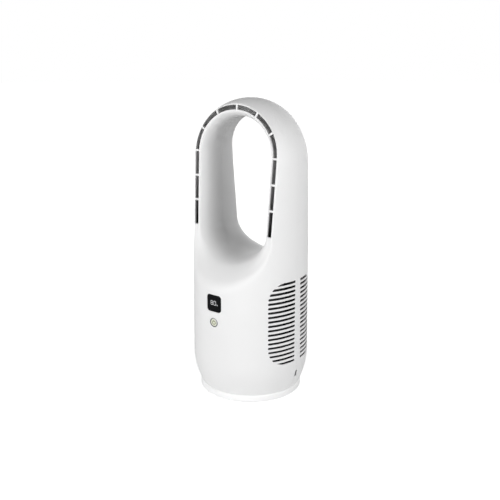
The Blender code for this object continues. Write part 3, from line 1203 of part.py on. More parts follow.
def wires(red, black):
    """The wires inside the body."""
    x = lead_offset()
    wound = STATOR_TOP + WINDING_OVERHANG + GAP
    cap_top = HUB_TOP + CAP_RISE
    back = -(CONTROL_BOARD_BACK - GAP)
    crossing = lead_crossing()
    wire("motor_lead", [(x, 0.0, wound), (x, 0.0, HUB_PLATE_LOW), (x, 0.0, HUB_PLATE_LOW + 0.006),
                        (0.4 * x, 0.0, HUB_TOP - 0.004), (0.0, 0.0, HUB_TOP + 0.003), (0.0, 0.0, cap_top),
                        (0.0, -0.0020, cap_top + 0.0045), (0.0, -0.012, crossing + 0.006),
                        (0.0, -0.026, crossing + 0.002), (0.0, -UPPER_BORE, crossing),
                        (0.0, -UPPER_OUTER - 0.003, crossing),
                        (0.0, 0.5 * (back - UPPER_OUTER), crossing - 0.001),
                        (0.0, back, crossing - 0.001)], LEAD_RADIUS, black)
    end = CELL_LENGTH / 2 + GAP + THIN_WIRE
    above = CHARGE_BOARD_TOP + GAP
    edge = CHARGE_BOARD_INNER
    side = CELL_SPACING / 2
    red_place = PORT_SIDE + CHARGE_BOARD_WIDTH / 2 - 0.002
    wire("battery_lead_red", [(end, side, CELL_CENTRE + 0.002), (end + 0.0015, side, CELL_CENTRE + 0.006),
                              (end + 0.0020, 0.5 * (side + red_place), above + 0.0030),
                              (edge - 0.0002, red_place, above + 0.0040),
                              (edge + 0.0010, red_place, above + 0.0026),
                              (edge + 0.0012, red_place, above)], THIN_WIRE, red)
    black_place = PORT_SIDE - CHARGE_BOARD_WIDTH / 2 + 0.002
    wire("battery_lead_black", [(end, -side, CELL_CENTRE + 0.002), (end + 0.0015, -side, CELL_CENTRE + 0.006),
                                (end + 0.0020, 0.5 * (black_place - side), above + 0.0030),
                                (edge - 0.0002, black_place, above + 0.0040),
                                (edge + 0.0010, black_place, above + 0.0026),
                                (edge + 0.0012, black_place, above)], THIN_WIRE, black)
    start = edge + 0.0105
    low = CONTROL_BOARD_LOW
    wire("board_lead", [(start, PORT_SIDE - 0.0075, above), (start - 0.0003, PORT_SIDE - 0.0077, above + 0.0018),
                        (start - 0.0030, PORT_SIDE - 0.0086, above + 0.0031), (0.0385, -0.0115, 0.0292),
                        (0.0365, -0.0200, 0.0315), (0.0290, -0.0370, 0.0330), (0.0225, -0.0460, 0.0450),
                        (0.0180, -0.0495, 0.0620), (0.0140, -0.0495, low - 0.006),
                        (0.0090, -0.0470, low + 0.002), (0.0060, back + 0.0020, low + 0.0050),
                        (0.0055, back, low + 0.0055)], THIN_WIRE, black)


def build():
    """Make every piece of the fan."""
    clear_scene()
    white = finish("white plastic", (0.80, 0.80, 0.78), 0.38)
    pale = finish("pale plastic", (0.72, 0.72, 0.70), 0.45)
    black = finish("black plastic", (0.02, 0.02, 0.02), 0.5)
    grey = finish("grey plastic", (0.20, 0.20, 0.21), 0.5)
    lens = finish("black lens", (0.01, 0.01, 0.012), 0.08)
    metal = finish("satin metal", (0.45, 0.46, 0.46), 0.3, 1.0)
    steel = finish("steel", (0.55, 0.56, 0.57), 0.32, 1.0)
    iron = finish("stator iron", (0.28, 0.29, 0.30), 0.45, 0.9)
    copper = finish("copper wire", (0.62, 0.26, 0.10), 0.35, 0.9)
    magnet = finish("magnet", (0.07, 0.07, 0.075), 0.5, 0.4)
    board = finish("green board", (0.02, 0.12, 0.05), 0.4)
    rubber = finish("black rubber", (0.03, 0.03, 0.03), 0.85)
    foam = finish("grey foam", (0.12, 0.12, 0.12), 0.95)
    cell = finish("blue sleeve", (0.05, 0.16, 0.42), 0.35)
    red = finish("red wire", (0.55, 0.03, 0.02), 0.45)
    hollow = cavity()
    through = guide("loop_hole", hole(0.0))
    front_shell(white, hollow, through)
    rear_shell(white, hollow, through)
    shell_screws(steel)
    base_plate(pale)
    foot_pieces(rubber, steel)
    battery_pieces(cell, black, steel)
    charging_pieces(board, metal, steel)
    control_pieces(board, black, lens, grey, metal, white, steel)
    impeller(grey)
    motor_pieces(steel, iron, copper, magnet)
    air_pieces(black, foam, grey, steel)
    wires(red, black)


build()
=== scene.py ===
"""A loop desk fan without visible blades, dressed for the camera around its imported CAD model.

Metres, +Z up, front towards -Y, the origin on the table under the middle of the foot.
"""

from functools import partialmethod
from math import asin, atan2, cos, pi, radians, sin, sqrt, tau

import bmesh
import bpy
from mathutils import Matrix, Vector
from mathutils.geometry import interpolate_bezier


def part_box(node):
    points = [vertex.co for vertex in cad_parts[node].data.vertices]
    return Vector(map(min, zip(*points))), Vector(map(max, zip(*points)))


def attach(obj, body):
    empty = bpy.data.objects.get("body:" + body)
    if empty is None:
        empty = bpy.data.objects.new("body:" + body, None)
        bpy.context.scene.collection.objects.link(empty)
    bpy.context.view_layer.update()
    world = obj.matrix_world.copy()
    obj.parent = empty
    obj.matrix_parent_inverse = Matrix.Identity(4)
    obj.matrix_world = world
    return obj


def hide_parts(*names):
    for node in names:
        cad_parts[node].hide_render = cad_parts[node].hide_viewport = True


# Body, as in the part's source
BODY_RADIUS = 0.0653
SHOULDER_RADIUS = 0.0636
FOOT_TUCK = 0.0080
TUCK_TOP = 0.045
DOME_START = 0.262
DOME_HEIGHT = 0.0675
SHELL_BOTTOM = 0.009
WALL = 0.002
GAP = 0.0003
SEAM = 0.0001

# Loop, as in the part's source
LOOP_CENTRE = 0.2714
LEG_FOOT = 0.190
RIM_DEPTH = 0.0276
RIM_LEAN = 0.0733
SCOOP_END = 0.1285
SCOOP_OVERRUN = 0.002
SCOOP_PULL_UPPER = 0.034
SCOOP_PULL_LOWER = 0.0285
SCOOP_END_SLOPE = radians(52)
SCOOP_POINTS = 40
HOLE_ARCH_HALF_WIDTH = 0.0416
HOLE_ARCH_RISE = 0.0388
HOLE_LOW_HALF_WIDTH = 0.0392
HOLE_LOW_DROP = 0.0316
HOLE_ARCH_FLARE = 0.26
HOLE_LOW_FLARE = 0.23

# Fineness of the shells
LOW_RAYS = 64  # from the bottom of the hole to one side
BOTTOM_RAYS = 40  # of those, the ones that run down to the shell's lower edge
LEG_RAYS = 20
ARCH_RAYS = 48
WALL_STEPS = 12
ROUND_STEPS = 6
FACE_STEPS = 8
OUTSIDE_STEPS = 40
WALL_BOW = 4.0  # how much the hole's wall curves from the seam to the rim
ROUND_PULL = 0.62  # how far a rounding's handles reach towards its corner
ROUND_MOST = (0.7, 0.42, 0.6)  # the most they take of the hole's wall, the rim's face and the outside
ROUNDINGS = {  # by facing: hole, bottom of the hole, outside, end of the scoop
    -1: (0.0016, 0.0085, 0.0014, 0.0080),
    1: (0.0030, 0.0085, 0.0030, 0.0080),
}
INNER_ROUND = 0.0004
PATH_SAMPLES = 30
SEARCHED = (0.07, 0.09)  # how far the rim's two edges are looked for
HALVINGS = 40
EDGE_SHARP = radians(32)
CROWN_SHARP = radians(50)
SLIVER = 1e-6
MERGED = 1e-7
# Slots. The inlets are wider than in the part's source, and the front ones start nearer the seam
OUTLET_WIDTH = 0.005
OUTLET_RIB = 0.002
OUTLET_CUT = 0.016
OUTLET_STEPS = 12
ARCH_OUTLETS = 6
LEG_OUTLETS = 3
OUTLET_END = 0.0016  # how far the lowest outlets run past the foot of the legs
OUTLET_SOFT = 0.0014
OUTLET_NARROWS = ((1.0, 1.0), (0.6, 0.96), (0.3, 0.88), (0.1, 0.76), (0.0, 0.62))  # part of the end, width
GRILLE_STRIPS = {-1: 0.0083, 1: 0.0121}  # twice the plain strip between the seam and the slots, by facing
GRILLE = {
    "Slots": 19,
    "Pitch": 0.00504,
    "Slot": 0.0024,
    "Reach": 0.0402,
    "Corner": 0.020,
    "Centre": 0.0913,
    "Radius": BODY_RADIUS,
    "Depth": 0.0036,
    "Proud": 0.0036,
    "Draft": 240.0,  # share by which a slot grows taller for each metre inwards
    "Lean": 1.2,  # how far a slot's end runs under the strip for its depth
}
PAINTED_SHADE_RISE = (0.175, 0.235)  # where the inner face turns from painted shade to the shell's own pale white

# Foot. Posts and ways are given by radius, low end and high end
FOOT_RADIUS = 0.0582
FOOT_CLEARANCE = 0.0010
FOOT_TOP = SHELL_BOTTOM - 0.0001
FOOT_ROUNDS = (0.0016, 0.0026)  # below and above
FOOT_FLOOR = 0.0032
COLLAR_RADII = (0.0531, 0.0549)
COLLAR_TOP = 0.0122
FOOT_POST = (0.0042, 0.0028, 0.0124)
FOOT_WAY = (0.0029, 0.0, 0.0093)
RUBBER_WAY = (0.0063, 0.0, 0.0020)
RUBBER_CIRCLE = 0.0450
RUBBER_OUTLINE = ((0.0, 0.0), (0.0053, 0.0), (0.0058, 0.0002), (0.0060, 0.0006), (0.0060, 0.0017),
                  (0.0, 0.0017))

# Screws
SCREW_HEAD = 0.0026
SCREW_DOME = 0.0020
SCREW_SHANK = 0.0014
SCREW_LENGTH = 0.0180
RECESS_ARM = (0.0032, 0.0007, 0.0002)  # length, width and corner
RECESS_DEPTHS = (-0.0024, -0.0010)
BASE_SCREW_PLACE = 0.036
BASE_SCREW_SEAT = 0.0090
SHELL_SCREWS = ((-0.046, 0.032), (-0.046, 0.128), (0.046, 0.032), (0.046, 0.128))  # to the side and up
SHELL_SCREW_WEB = 0.004
POST_RADIUS = 0.0043
POST_LENGTH = 0.030
WAY_END = 0.066

# Front controls. Display, button and ring are a little off the sizes in the part's source
FRONT_CUT = (0.058, 0.070)
DISPLAY_HEIGHT = 0.1143
DISPLAY_WIDTH = 0.0194
DISPLAY_TALL = 0.0190
DISPLAY_CORNER = 0.0036
WINDOW_THICKNESS = 0.0015
WINDOW_EDGE = (  # lift off the body's face and inset of each line along the border
    (-WINDOW_THICKNESS, 0.0), (-0.0004, 0.0), (-0.0002, 0.00005), (-0.00006, 0.00018), (0.0, 0.0004),
)
WINDOW_RINGS = (0.8, 0.6, 0.4, 0.2)
DIGITS = (("abcdefg", -0.0027), ("abcdef", 0.0015))  # lit strokes and place to the side
DIGIT_TALL = 0.0046
DIGIT_WIDE = 0.0027
DIGIT_RAISE = 0.0005
DIGIT_LIFTS = (0.00004, -0.00006)
STROKE = 0.00050
STROKE_GAP = 0.00012
SIGN_DOTS = ((0.0042, -0.0012), (0.0053, -0.0023))
SIGN_SLASH = ((0.0042, -0.0024), (0.0053, -0.0011))
SIGN_DOT = 0.00032
SIGN_STROKE = 0.00030
BUTTON_HEIGHT = 0.0925
BUTTON_RADIUS = 0.0041
BUTTON_EDGE = 0.0004
BUTTON_DISH = ((0.0034, 0.00002), (0.0024, 0.00008), (0.0012, 0.00012), (0.0, 0.00013))  # radius, depth
BUTTON_BACK = 0.0040
STEM_RADIUS = 0.0016
FLANGE_RADIUS = 0.0057
FLANGE_THICKNESS = 0.0007
BEZEL_RADIUS = 0.0051
BEZEL_DEPTH = 0.0024
BEZEL_PROUD = 0.0003
BEZEL_CROWN = 0.00035
RING_PROUD = 0.0007
POWER_RADII = (0.0024, 0.0017)
POWER_OPENING = radians(32)
POWER_STEPS = 28
POWER_BAR = (0.0008, 0.0024, 0.0003)  # width, height and corner
POWER_BAR_RAISE = 0.0016
POWER_LIFTS = (-0.0003, 0.00002)

# Charging port
PORT_SIDE = 0.0012
PORT_HEIGHT = 0.0274
PORT_TALL = 0.0081
PORT_WIDTH = 0.0032
PORT_CORNER = 0.0012
PORT_DEPTH = 0.005
PORT_PROUD = 0.002

# Camera and light
LENS = 56.8
SENSOR = 36.0
EYE = Vector((0.52948, -0.67309, 0.39586))
FORWARD = Vector((-0.59685, 0.75719, -0.26540))
RIGHT = Vector((cos(radians(38.25)), sin(radians(38.25)), 0.0))
WORLD_LIGHT = 0.10
GLOSS_LIGHT = 0.8
LAMP_TARGET = Vector((0.0, 0.0, 0.17))
LAMPS = (  # name, place, width, power
    ("front_lamp", (-0.30, -1.66, 0.32), 1.8, 34.0),
    ("side_lamp", (1.58, 0.05, 0.62), 1.2, 16.5),
    ("rear_lamp", (-0.70, 1.55, 0.22), 1.0, 7.0),
)
FLOOR_RADIUS = 6.0
FLOOR_TONE = 0.80
FLOOR_NEAR = 0.09
FLOOR_FAR = 0.40
FLOOR_GLOWS = (0.72, 1.0)  # what the camera sees on top of the floor's own tone, near and far

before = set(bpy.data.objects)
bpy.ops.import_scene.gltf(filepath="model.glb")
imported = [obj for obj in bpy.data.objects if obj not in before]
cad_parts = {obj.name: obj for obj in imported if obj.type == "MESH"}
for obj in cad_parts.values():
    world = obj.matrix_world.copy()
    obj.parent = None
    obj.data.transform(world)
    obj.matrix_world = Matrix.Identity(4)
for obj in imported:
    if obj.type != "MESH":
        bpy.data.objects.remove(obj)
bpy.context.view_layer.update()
scene = bpy.context.scene


class Nodes:
    """A node tree under construction, with one method for any node."""

    def __init__(self, tree):
        self.tree = tree

    def node(self, kind, settings=None, **sockets):
        made = self.tree.nodes.new(kind)
        for name, value in (settings or {}).items():
            setattr(made, name, value)
        for name, value in sockets.items():
            self.feed(made.inputs[name.replace("_", " ")], value)
        return made

    def feed(self, socket, value):
        """Set a socket, or link it to a Term, a node's first output or another socket."""
        if isinstance(value, Term):
            value = value.source
        if isinstance(value, bpy.types.Node):
            value = value.outputs[0]
        if isinstance(value, bpy.types.NodeSocket):
            self.tree.links.new(value, socket)
        elif hasattr(value, "__len__") and len(value) == 3 and socket.type == "RGBA":
            socket.default_value = (*value, 1.0)
        else:
            socket.default_value = value

    def row(self, kind, *values, **settings):
        """A node with its first inputs fed in their order."""
        made = self.node(kind, settings)
        for socket, value in zip(made.inputs, values):
            self.feed(socket, value)
        return made

    def term(self, source):
        return Term(self, source)


class Term:
    """A node's value that takes part in sums and products, which add Math nodes."""

    def __init__(self, nodes, source):
        self.nodes = nodes
        self.source = source

    def of(self, operation, other=0.0, swapped=False):
        """A Math node on this value and another."""
        values = (other, self) if swapped else (self, other)
        return Term(self.nodes, self.nodes.row("ShaderNodeMath", *values, operation=operation))

    __add__ = __radd__ = partialmethod(of, "ADD")
    __sub__ = partialmethod(of, "SUBTRACT")
    __rsub__ = partialmethod(of, "SUBTRACT", swapped=True)
    __mul__ = __rmul__ = partialmethod(of, "MULTIPLY")
    __truediv__ = partialmethod(of, "DIVIDE")
    __pow__ = partialmethod(of, "POWER")


LOOKS = {}


class Finish(Nodes):
    """A material under construction."""

    def __init__(self, name):
        self.name = name
        self.material = bpy.data.materials.new(name)
        self.material.use_nodes = True
        super().__init__(self.material.node_tree)
        self.shader = self.tree.nodes["Principled BSDF"]

    def place(self, scale=(1.0, 1.0, 1.0)):
        """Object coordinates, stretched where a pattern has a direction."""
        coordinates = self.node("ShaderNodeTexCoord")
        return self.node("ShaderNodeMapping", Vector=coordinates.outputs["Object"], Scale=scale)

    def noise(self, scale, detail=3.0, stretch=(1.0, 1.0, 1.0)):
        made = self.node("ShaderNodeTexNoise", Vector=self.place(stretch), Scale=scale, Detail=detail)
        return self.term(made)

    def blend(self, factor, first, second):
        made = self.node("ShaderNodeMix", {"data_type": "RGBA"})
        self.feed(made.inputs[0], factor)
        self.feed(made.inputs[6], first)
        self.feed(made.inputs[7], second)
        return made.outputs[2]

    def bump(self, height, strength, distance):
        return self.node("ShaderNodeBump", Height=height, Strength=strength, Distance=distance)

    def finish(self, **sockets):
        """Set the main shader's inputs and keep the material as a look."""
        for name, value in sockets.items():
            self.feed(self.shader.inputs[name.replace("_", " ")], value)
        LOOKS[self.name] = self.material


def moulded(name, colour, roughness, grain=900.0, depth=0.00002, mottle=0.03, gloss=0.5):
    """Moulded plastic with a fine spark-eroded grain and a faint change of tone."""
    made = Finish(name)
    tone = made.noise(14.0, 2.0)
    fine = made.noise(grain, 2.0)
    darker = tuple(channel * (1.0 - mottle) for channel in colour)
    made.finish(Base_Color=made.blend(tone, darker, colour),
                Roughness=(fine - 0.5) * 0.12 + (tone - 0.5) * 0.06 + roughness,
                Normal=made.bump(fine, 0.35, depth), Specular_IOR_Level=gloss)


def turned_metal(name, colour, roughness, stretch, scale=300.0, metallic=1.0):
    """Metal with fine marks drawn out in one direction."""
    made = Finish(name)
    marks = made.noise(scale, 4.0, stretch)
    darker = tuple(channel * 0.78 for channel in colour)
    made.finish(Base_Color=made.blend(marks, darker, colour), Metallic=metallic,
                Roughness=(marks - 0.5) * 0.2 + roughness, Normal=made.bump(marks, 0.25, 0.00002))


def painted_shade_inside(name):
    """The inner face of the shells, with painted shade: near-black low down behind the inlets, where the
    hollow body lies in shade, and the shell's own pale white up in the loop.
    """
    made = Finish(name)
    apart = made.node("ShaderNodeSeparateXYZ", Vector=made.place())
    rise = made.node("ShaderNodeMapRange", {"interpolation_type": "SMOOTHSTEP"}, Value=apart.outputs[2],
                     From_Min=PAINTED_SHADE_RISE[0], From_Max=PAINTED_SHADE_RISE[1])
    # Painted shade: near-black below the rise, where the inside lies in shade; the shell's own white above it
    colour = made.blend(rise, (0.012, 0.012, 0.013), (0.86, 0.86, 0.86))
    made.finish(Base_Color=colour, Roughness=made.noise(60.0) * 0.1 + 0.6)


def hazy(name, scale, darker, colour, swing, roughness, **more):
    """A smooth face with a faint haze in it."""
    made = Finish(name)
    haze = made.noise(scale)
    made.finish(Base_Color=made.blend(haze, darker, colour), Roughness=haze * swing + roughness, **more)


def lit(name, colour, strength):
    """A lit sign, a little uneven across its strokes."""
    made = Finish(name)
    glow = made.blend(made.noise(700.0), tuple(channel * 0.85 for channel in colour), colour)
    made.finish(Base_Color=(0.02, 0.02, 0.02), Roughness=0.5, Emission_Color=glow,
                Emission_Strength=strength)


def wound(name):
    """Lacquered copper wire wound side by side."""
    made = Finish(name)
    turns = made.node("ShaderNodeTexWave", {"bands_direction": "Z"}, Vector=made.place(), Scale=900.0,
                      Distortion=0.6)
    rows = made.term(turns.outputs[1])
    made.finish(Base_Color=made.blend(rows, (0.28, 0.09, 0.03), (0.66, 0.28, 0.11)), Metallic=0.9,
                Roughness=0.42 - rows * 0.14, Normal=made.bump(rows, 0.6, 0.0001))


def circuit(name):
    """Green board with lighter tracks."""
    made = Finish(name)
    tracks = made.node("ShaderNodeTexVoronoi", {"feature": "DISTANCE_TO_EDGE", "distance": "MANHATTAN"},
                       Vector=made.place(), Scale=420.0)
    edge = made.node("ShaderNodeValToRGB", Fac=tracks)
    edge.color_ramp.elements[0].position = 0.04
    edge.color_ramp.elements[1].position = 0.09
    lines = made.term(edge)
    made.finish(Base_Color=made.blend(lines, (0.05, 0.26, 0.11), (0.012, 0.10, 0.04)),
                Roughness=lines * 0.1 + 0.3, Normal=made.bump(lines, 0.2, 0.00004))


def cellular(name):
    """Open-celled grey foam."""
    made = Finish(name)
    cells = made.term(made.node("ShaderNodeTexVoronoi", Vector=made.place(), Scale=1500.0))
    made.finish(Base_Color=made.blend(cells, (0.07, 0.07, 0.07), (0.17, 0.17, 0.17)), Roughness=0.95,
                Normal=made.bump(cells, 0.8, 0.0003))


moulded("white_shell", (0.86, 0.86, 0.86), 0.46, mottle=0.008, gloss=0.35)
painted_shade_inside("shell_inside")
moulded("foot_plastic", (0.93, 0.93, 0.93), 0.48, mottle=0.01, gloss=0.35)
hazy("display_lens", 160.0, (0.002, 0.002, 0.003), (0.005, 0.005, 0.006), 0.06, 0.16,
     Specular_IOR_Level=0.12)
hazy("button_plastic", 240.0, (0.74, 0.76, 0.62), (0.82, 0.83, 0.72), 0.1, 0.3)
turned_metal("satin_metal", (0.40, 0.39, 0.41), 0.28, (1.0, 1.0, 0.1))
turned_metal("steel", (0.56, 0.57, 0.58), 0.32, (1.0, 1.0, 0.2))
turned_metal("stator_iron", (0.28, 0.29, 0.30), 0.45, (0.1, 0.1, 6.0), metallic=0.9)
wound("copper_wire")
turned_metal("magnet", (0.07, 0.07, 0.075), 0.5, (1.0, 1.0, 1.0), metallic=0.4)
circuit("circuit_board")
moulded("black_plastic", (0.020, 0.020, 0.021), 0.55, mottle=0.2)
moulded("grey_plastic", (0.20, 0.20, 0.21), 0.5, mottle=0.1)
moulded("cell_sleeve", (0.05, 0.16, 0.42), 0.34, grain=300.0, mottle=0.12)
moulded("rubber", (0.030, 0.030, 0.031), 0.85, grain=500.0, depth=0.00006, mottle=0.2, gloss=0.3)
cellular("foam")
moulded("red_wire", (0.55, 0.03, 0.02), 0.45, mottle=0.1)
moulded("black_wire", (0.02, 0.02, 0.02), 0.45, mottle=0.1)
lit("display_digits", (0.86, 0.86, 0.88), 0.95)
moulded("power_sign", (0.16, 0.17, 0.05), 0.5, grain=600.0, mottle=0.1)

CAD_LOOKS = {
    "white_shell": "front_shell rear_shell",
    "foot_plastic": "base_plate",
    "display_lens": "display_window",
    "button_plastic": "power_button",
    "satin_metal": "button_bezel usb_socket",
    "steel": "rotor_cup motor_shaft",
    "stator_iron": "motor_stator",
    "copper_wire": "stator_windings",
    "magnet": "magnet_ring",
    "circuit_board": "charging_board control_board",
    "black_plastic": "display_module switch_plunger fan_duct impeller_shroud guide_vanes hub_cap "
                     "battery_tray battery_clamp",
    "grey_plastic": "switch_body impeller",
    "foam": "duct_seal",
    "red_wire": "battery_lead_red",
    "black_wire": "battery_lead_black motor_lead board_lead",
}
CAD_FAMILIES = (("screw", "steel"), ("bearing", "steel"), ("battery_cell", "cell_sleeve"),
                ("rubber_foot", "rubber"))


def dress_cad():
    """Give every CAD node its procedural finish."""
    looks = {name: look for look, names in CAD_LOOKS.items() for name in names.split()}
    for name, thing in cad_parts.items():
        family = [look for word, look in CAD_FAMILIES if word in name]
        look = LOOKS[looks.get(name) or family[0]]
        if not thing.material_slots:
            thing.data.materials.append(look)
        for place in thing.material_slots:
            place.material = look


def outward(mesh):
    """Turn a bmesh's faces outwards."""
    bmesh.ops.recalc_face_normals(mesh, faces=mesh.faces)
    return mesh


def shown(name, data):
    """A new object in the scene."""
    made = bpy.data.objects.new(name, data)
    scene.collection.objects.link(made)
    return made


def thing_of(name, mesh, *looks):
    """Put a bmesh in the scene as a named object."""
    data = bpy.data.meshes.new(name)
    mesh.to_mesh(data)
    mesh.free()
    for look in looks:
        data.materials.append(LOOKS[look])
    return shown(name, data)


def clean(data):
    """Split a mesh into outward triangles and drop the slivers that cutting leaves among them."""
    mesh = bmesh.new()
    mesh.from_mesh(data)
    bmesh.ops.remove_doubles(mesh, verts=mesh.verts, dist=SLIVER)
    bmesh.ops.triangulate(mesh, faces=mesh.faces)
    bmesh.ops.dissolve_degenerate(mesh, edges=mesh.edges, dist=SLIVER)
    outward(mesh).to_mesh(data)
    mesh.free()


def smooth(thing, sharp=EDGE_SHARP):
    """Smooth shading with crisp edges kept."""
    thing.data.shade_smooth()
    thing.data.set_sharp_from_angle(angle=sharp)


def settle(thing):
    """Turn a piece's modifiers into plain mesh with smooth shading."""
    bpy.context.view_layer.update()
    graph = bpy.context.evaluated_depsgraph_get()
    made = bpy.data.meshes.new_from_object(thing.evaluated_get(graph))
    clean(made)
    old = thing.data
    thing.modifiers.clear()
    thing.data = made
    made.name = thing.name
    bpy.data.meshes.remove(old)
    smooth(thing)


def cut(thing, *others, operation="DIFFERENCE"):
    """Cut a piece with other shapes, or join them to it, and remove those shapes."""
    for other in others:
        step = thing.modifiers.new(other.name, "BOOLEAN")
        step.operation = operation
        step.solver = "MANIFOLD"
        step.object = other
    settle(thing)
    for other in others:
        bpy.data.objects.remove(other, do_unlink=True)
    return thing


def keep(thing, body, slot, *nodes):
    """Let a finished piece ride on its body and stand for its CAD nodes."""
    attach(thing, body)
    if nodes:
        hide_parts(*nodes)
    return thing


def body_radius(height):
    """Outer radius of the body below its dome."""
    if height < TUCK_TOP:
        share = (TUCK_TOP - height) / (TUCK_TOP - SHELL_BOTTOM)
        return BODY_RADIUS - FOOT_TUCK * share ** 2
    share = (height - TUCK_TOP) / (DOME_START - TUCK_TOP)
    return BODY_RADIUS + (SHOULDER_RADIUS - BODY_RADIUS) * share


def rim_depth(height):
    """Distance from the seam to the straight part of the rim's face."""
    return RIM_DEPTH + RIM_LEAN * (LOOP_CENTRE - height)


def scoop_curve(inset):
    """Outline (depth, height) of the rim's face and the scoop below it, from the top down."""
    top = DOME_START + DOME_HEIGHT
    start = Vector((rim_depth(LEG_FOOT), LEG_FOOT))
    end = Vector((BODY_RADIUS + SCOOP_OVERRUN, SCOOP_END))
    upper_pull = Vector((rim_depth(LEG_FOOT - SCOOP_PULL_UPPER), LEG_FOOT - SCOOP_PULL_UPPER))
    slope = Vector((-cos(SCOOP_END_SLOPE), sin(SCOOP_END_SLOPE)))
    curve = interpolate_bezier(start, upper_pull, end + SCOOP_PULL_LOWER * slope, end, SCOOP_POINTS)
    points = [Vector((rim_depth(top), top))] + [point.to_2d() for point in curve]
    moved = []
    for number, point in enumerate(points):
        before = points[max(0, number - 1)]
        after = points[min(len(points) - 1, number + 1)]
        along = (after - before).normalized()
        moved.append((point[0] + inset * along[1], point[1] - inset * along[0]))
    return moved


SCOOPS = {inset: scoop_curve(inset) for inset in (0.0, WALL)}


def scoop_depth(height, inset):
    """How far in front of the seam the rim's face or the scoop is at a height."""
    curve = SCOOPS[inset]
    if height >= curve[1][1]:
        share = (curve[0][1] - height) / (curve[0][1] - curve[1][1])
        return curve[0][0] + (curve[1][0] - curve[0][0]) * share
    for (near, high), (far, low) in zip(curve[1:], curve[2:]):
        if height >= low:
            return near + (far - near) * (high - height) / (high - low)
    (near, high), (far, low) = curve[-2:]
    return far + (far - near) * (low - height) / (high - low)


def half_width(height, depth, inset):
    """Square of the body's half-width at a height and a distance from the seam, below zero outside it."""
    if height <= DOME_START:
        return (body_radius(height) - inset) ** 2 - depth ** 2
    share = (height - DOME_START) / (DOME_HEIGHT - inset)
    return (SHOULDER_RADIUS - inset) ** 2 * (1.0 - share ** 2) - depth ** 2


def rays():
    """The lines that run around the shell's wall, from the bottom of the hole to its top on one side."""
    counts = (("low", LOW_RAYS), ("leg", LEG_RAYS), ("arch", ARCH_RAYS))
    return [("low", 0.0)] + [(part, number / count) for part, count in counts
                             for number in range(1, count + 1)]


def hole_point(ray, reach, inset):
    """Where a ray's line on the hole's wall is, as (x, height), flared for a distance from the seam."""
    part, share = ray
    arch = HOLE_ARCH_FLARE * reach + inset
    low = HOLE_LOW_FLARE * reach + inset
    if part == "arch":
        angle = pi / 2 * share
        return Vector(((HOLE_ARCH_HALF_WIDTH + arch) * cos(angle),
                       LOOP_CENTRE + (HOLE_ARCH_RISE + arch) * sin(angle)))
    if part == "low":
        angle = pi / 2 * (share - 1.0)
        return Vector(((HOLE_LOW_HALF_WIDTH + low) * cos(angle),
                       LEG_FOOT + (HOLE_LOW_DROP + low) * sin(angle)))
    start = HOLE_LOW_HALF_WIDTH + low
    return Vector((start + (HOLE_ARCH_HALF_WIDTH + arch - start) * share,
                   LEG_FOOT + (LOOP_CENTRE - LEG_FOOT) * share))


def found(miss, low, high):
    """Where a rising miss passes zero, by halving."""
    for step in range(HALVINGS):
        middle = (low + high) / 2
        if miss(middle) < 0.0:
            low = middle
        else:
            high = middle
    return (low + high) / 2


def outside_path(ray, corner, edge, inset):
    """The way on the body's outside from the rim's outer corner to the shell's border, for 0 to 1."""
    part, share = ray
    x, y, height = corner
    if part == "low":
        start = atan2(-y, x)
        if share * LOW_RAYS >= BOTTOM_RAYS:
            side = (share * LOW_RAYS - BOTTOM_RAYS) / (LOW_RAYS - BOTTOM_RAYS)
            low = SHELL_BOTTOM + (LEG_FOOT - SHELL_BOTTOM) * side
            end = asin(edge / (body_radius(low) - inset))
        else:
            low = SHELL_BOTTOM
            border = asin(edge / (body_radius(low) - inset))
            end = border + (pi / 2 - border) * (1.0 - share * LOW_RAYS / BOTTOM_RAYS)

        def path(step):
            level = height + (low - height) * step
            angle = start + (end - start) * step
            radius = body_radius(level) - inset
            return Vector((radius * cos(angle), -radius * sin(angle), level))
        return path
    if height <= DOME_START:
        def path(step):
            depth = -y + (edge + y) * step
            return Vector((sqrt(half_width(height, depth, inset)), -depth, height))
        return path
    wide = SHOULDER_RADIUS - inset
    tall = DOME_HEIGHT - inset
    turn = atan2(height - DOME_START, x)

    def path(step):
        depth = -y + (edge + y) * step
        reach = sqrt((1.0 - (depth / wide) ** 2) / ((cos(turn) / wide) ** 2 + (sin(turn) / tall) ** 2))
        return Vector((reach * cos(turn), -depth, DOME_START + reach * sin(turn)))
    return path


def rounded(before, corner, after, steps):
    """Points of a rounding from one place to another past their corner."""
    return interpolate_bezier(before, before.lerp(corner, ROUND_PULL), after.lerp(corner, ROUND_PULL), after,
                              steps + 1)


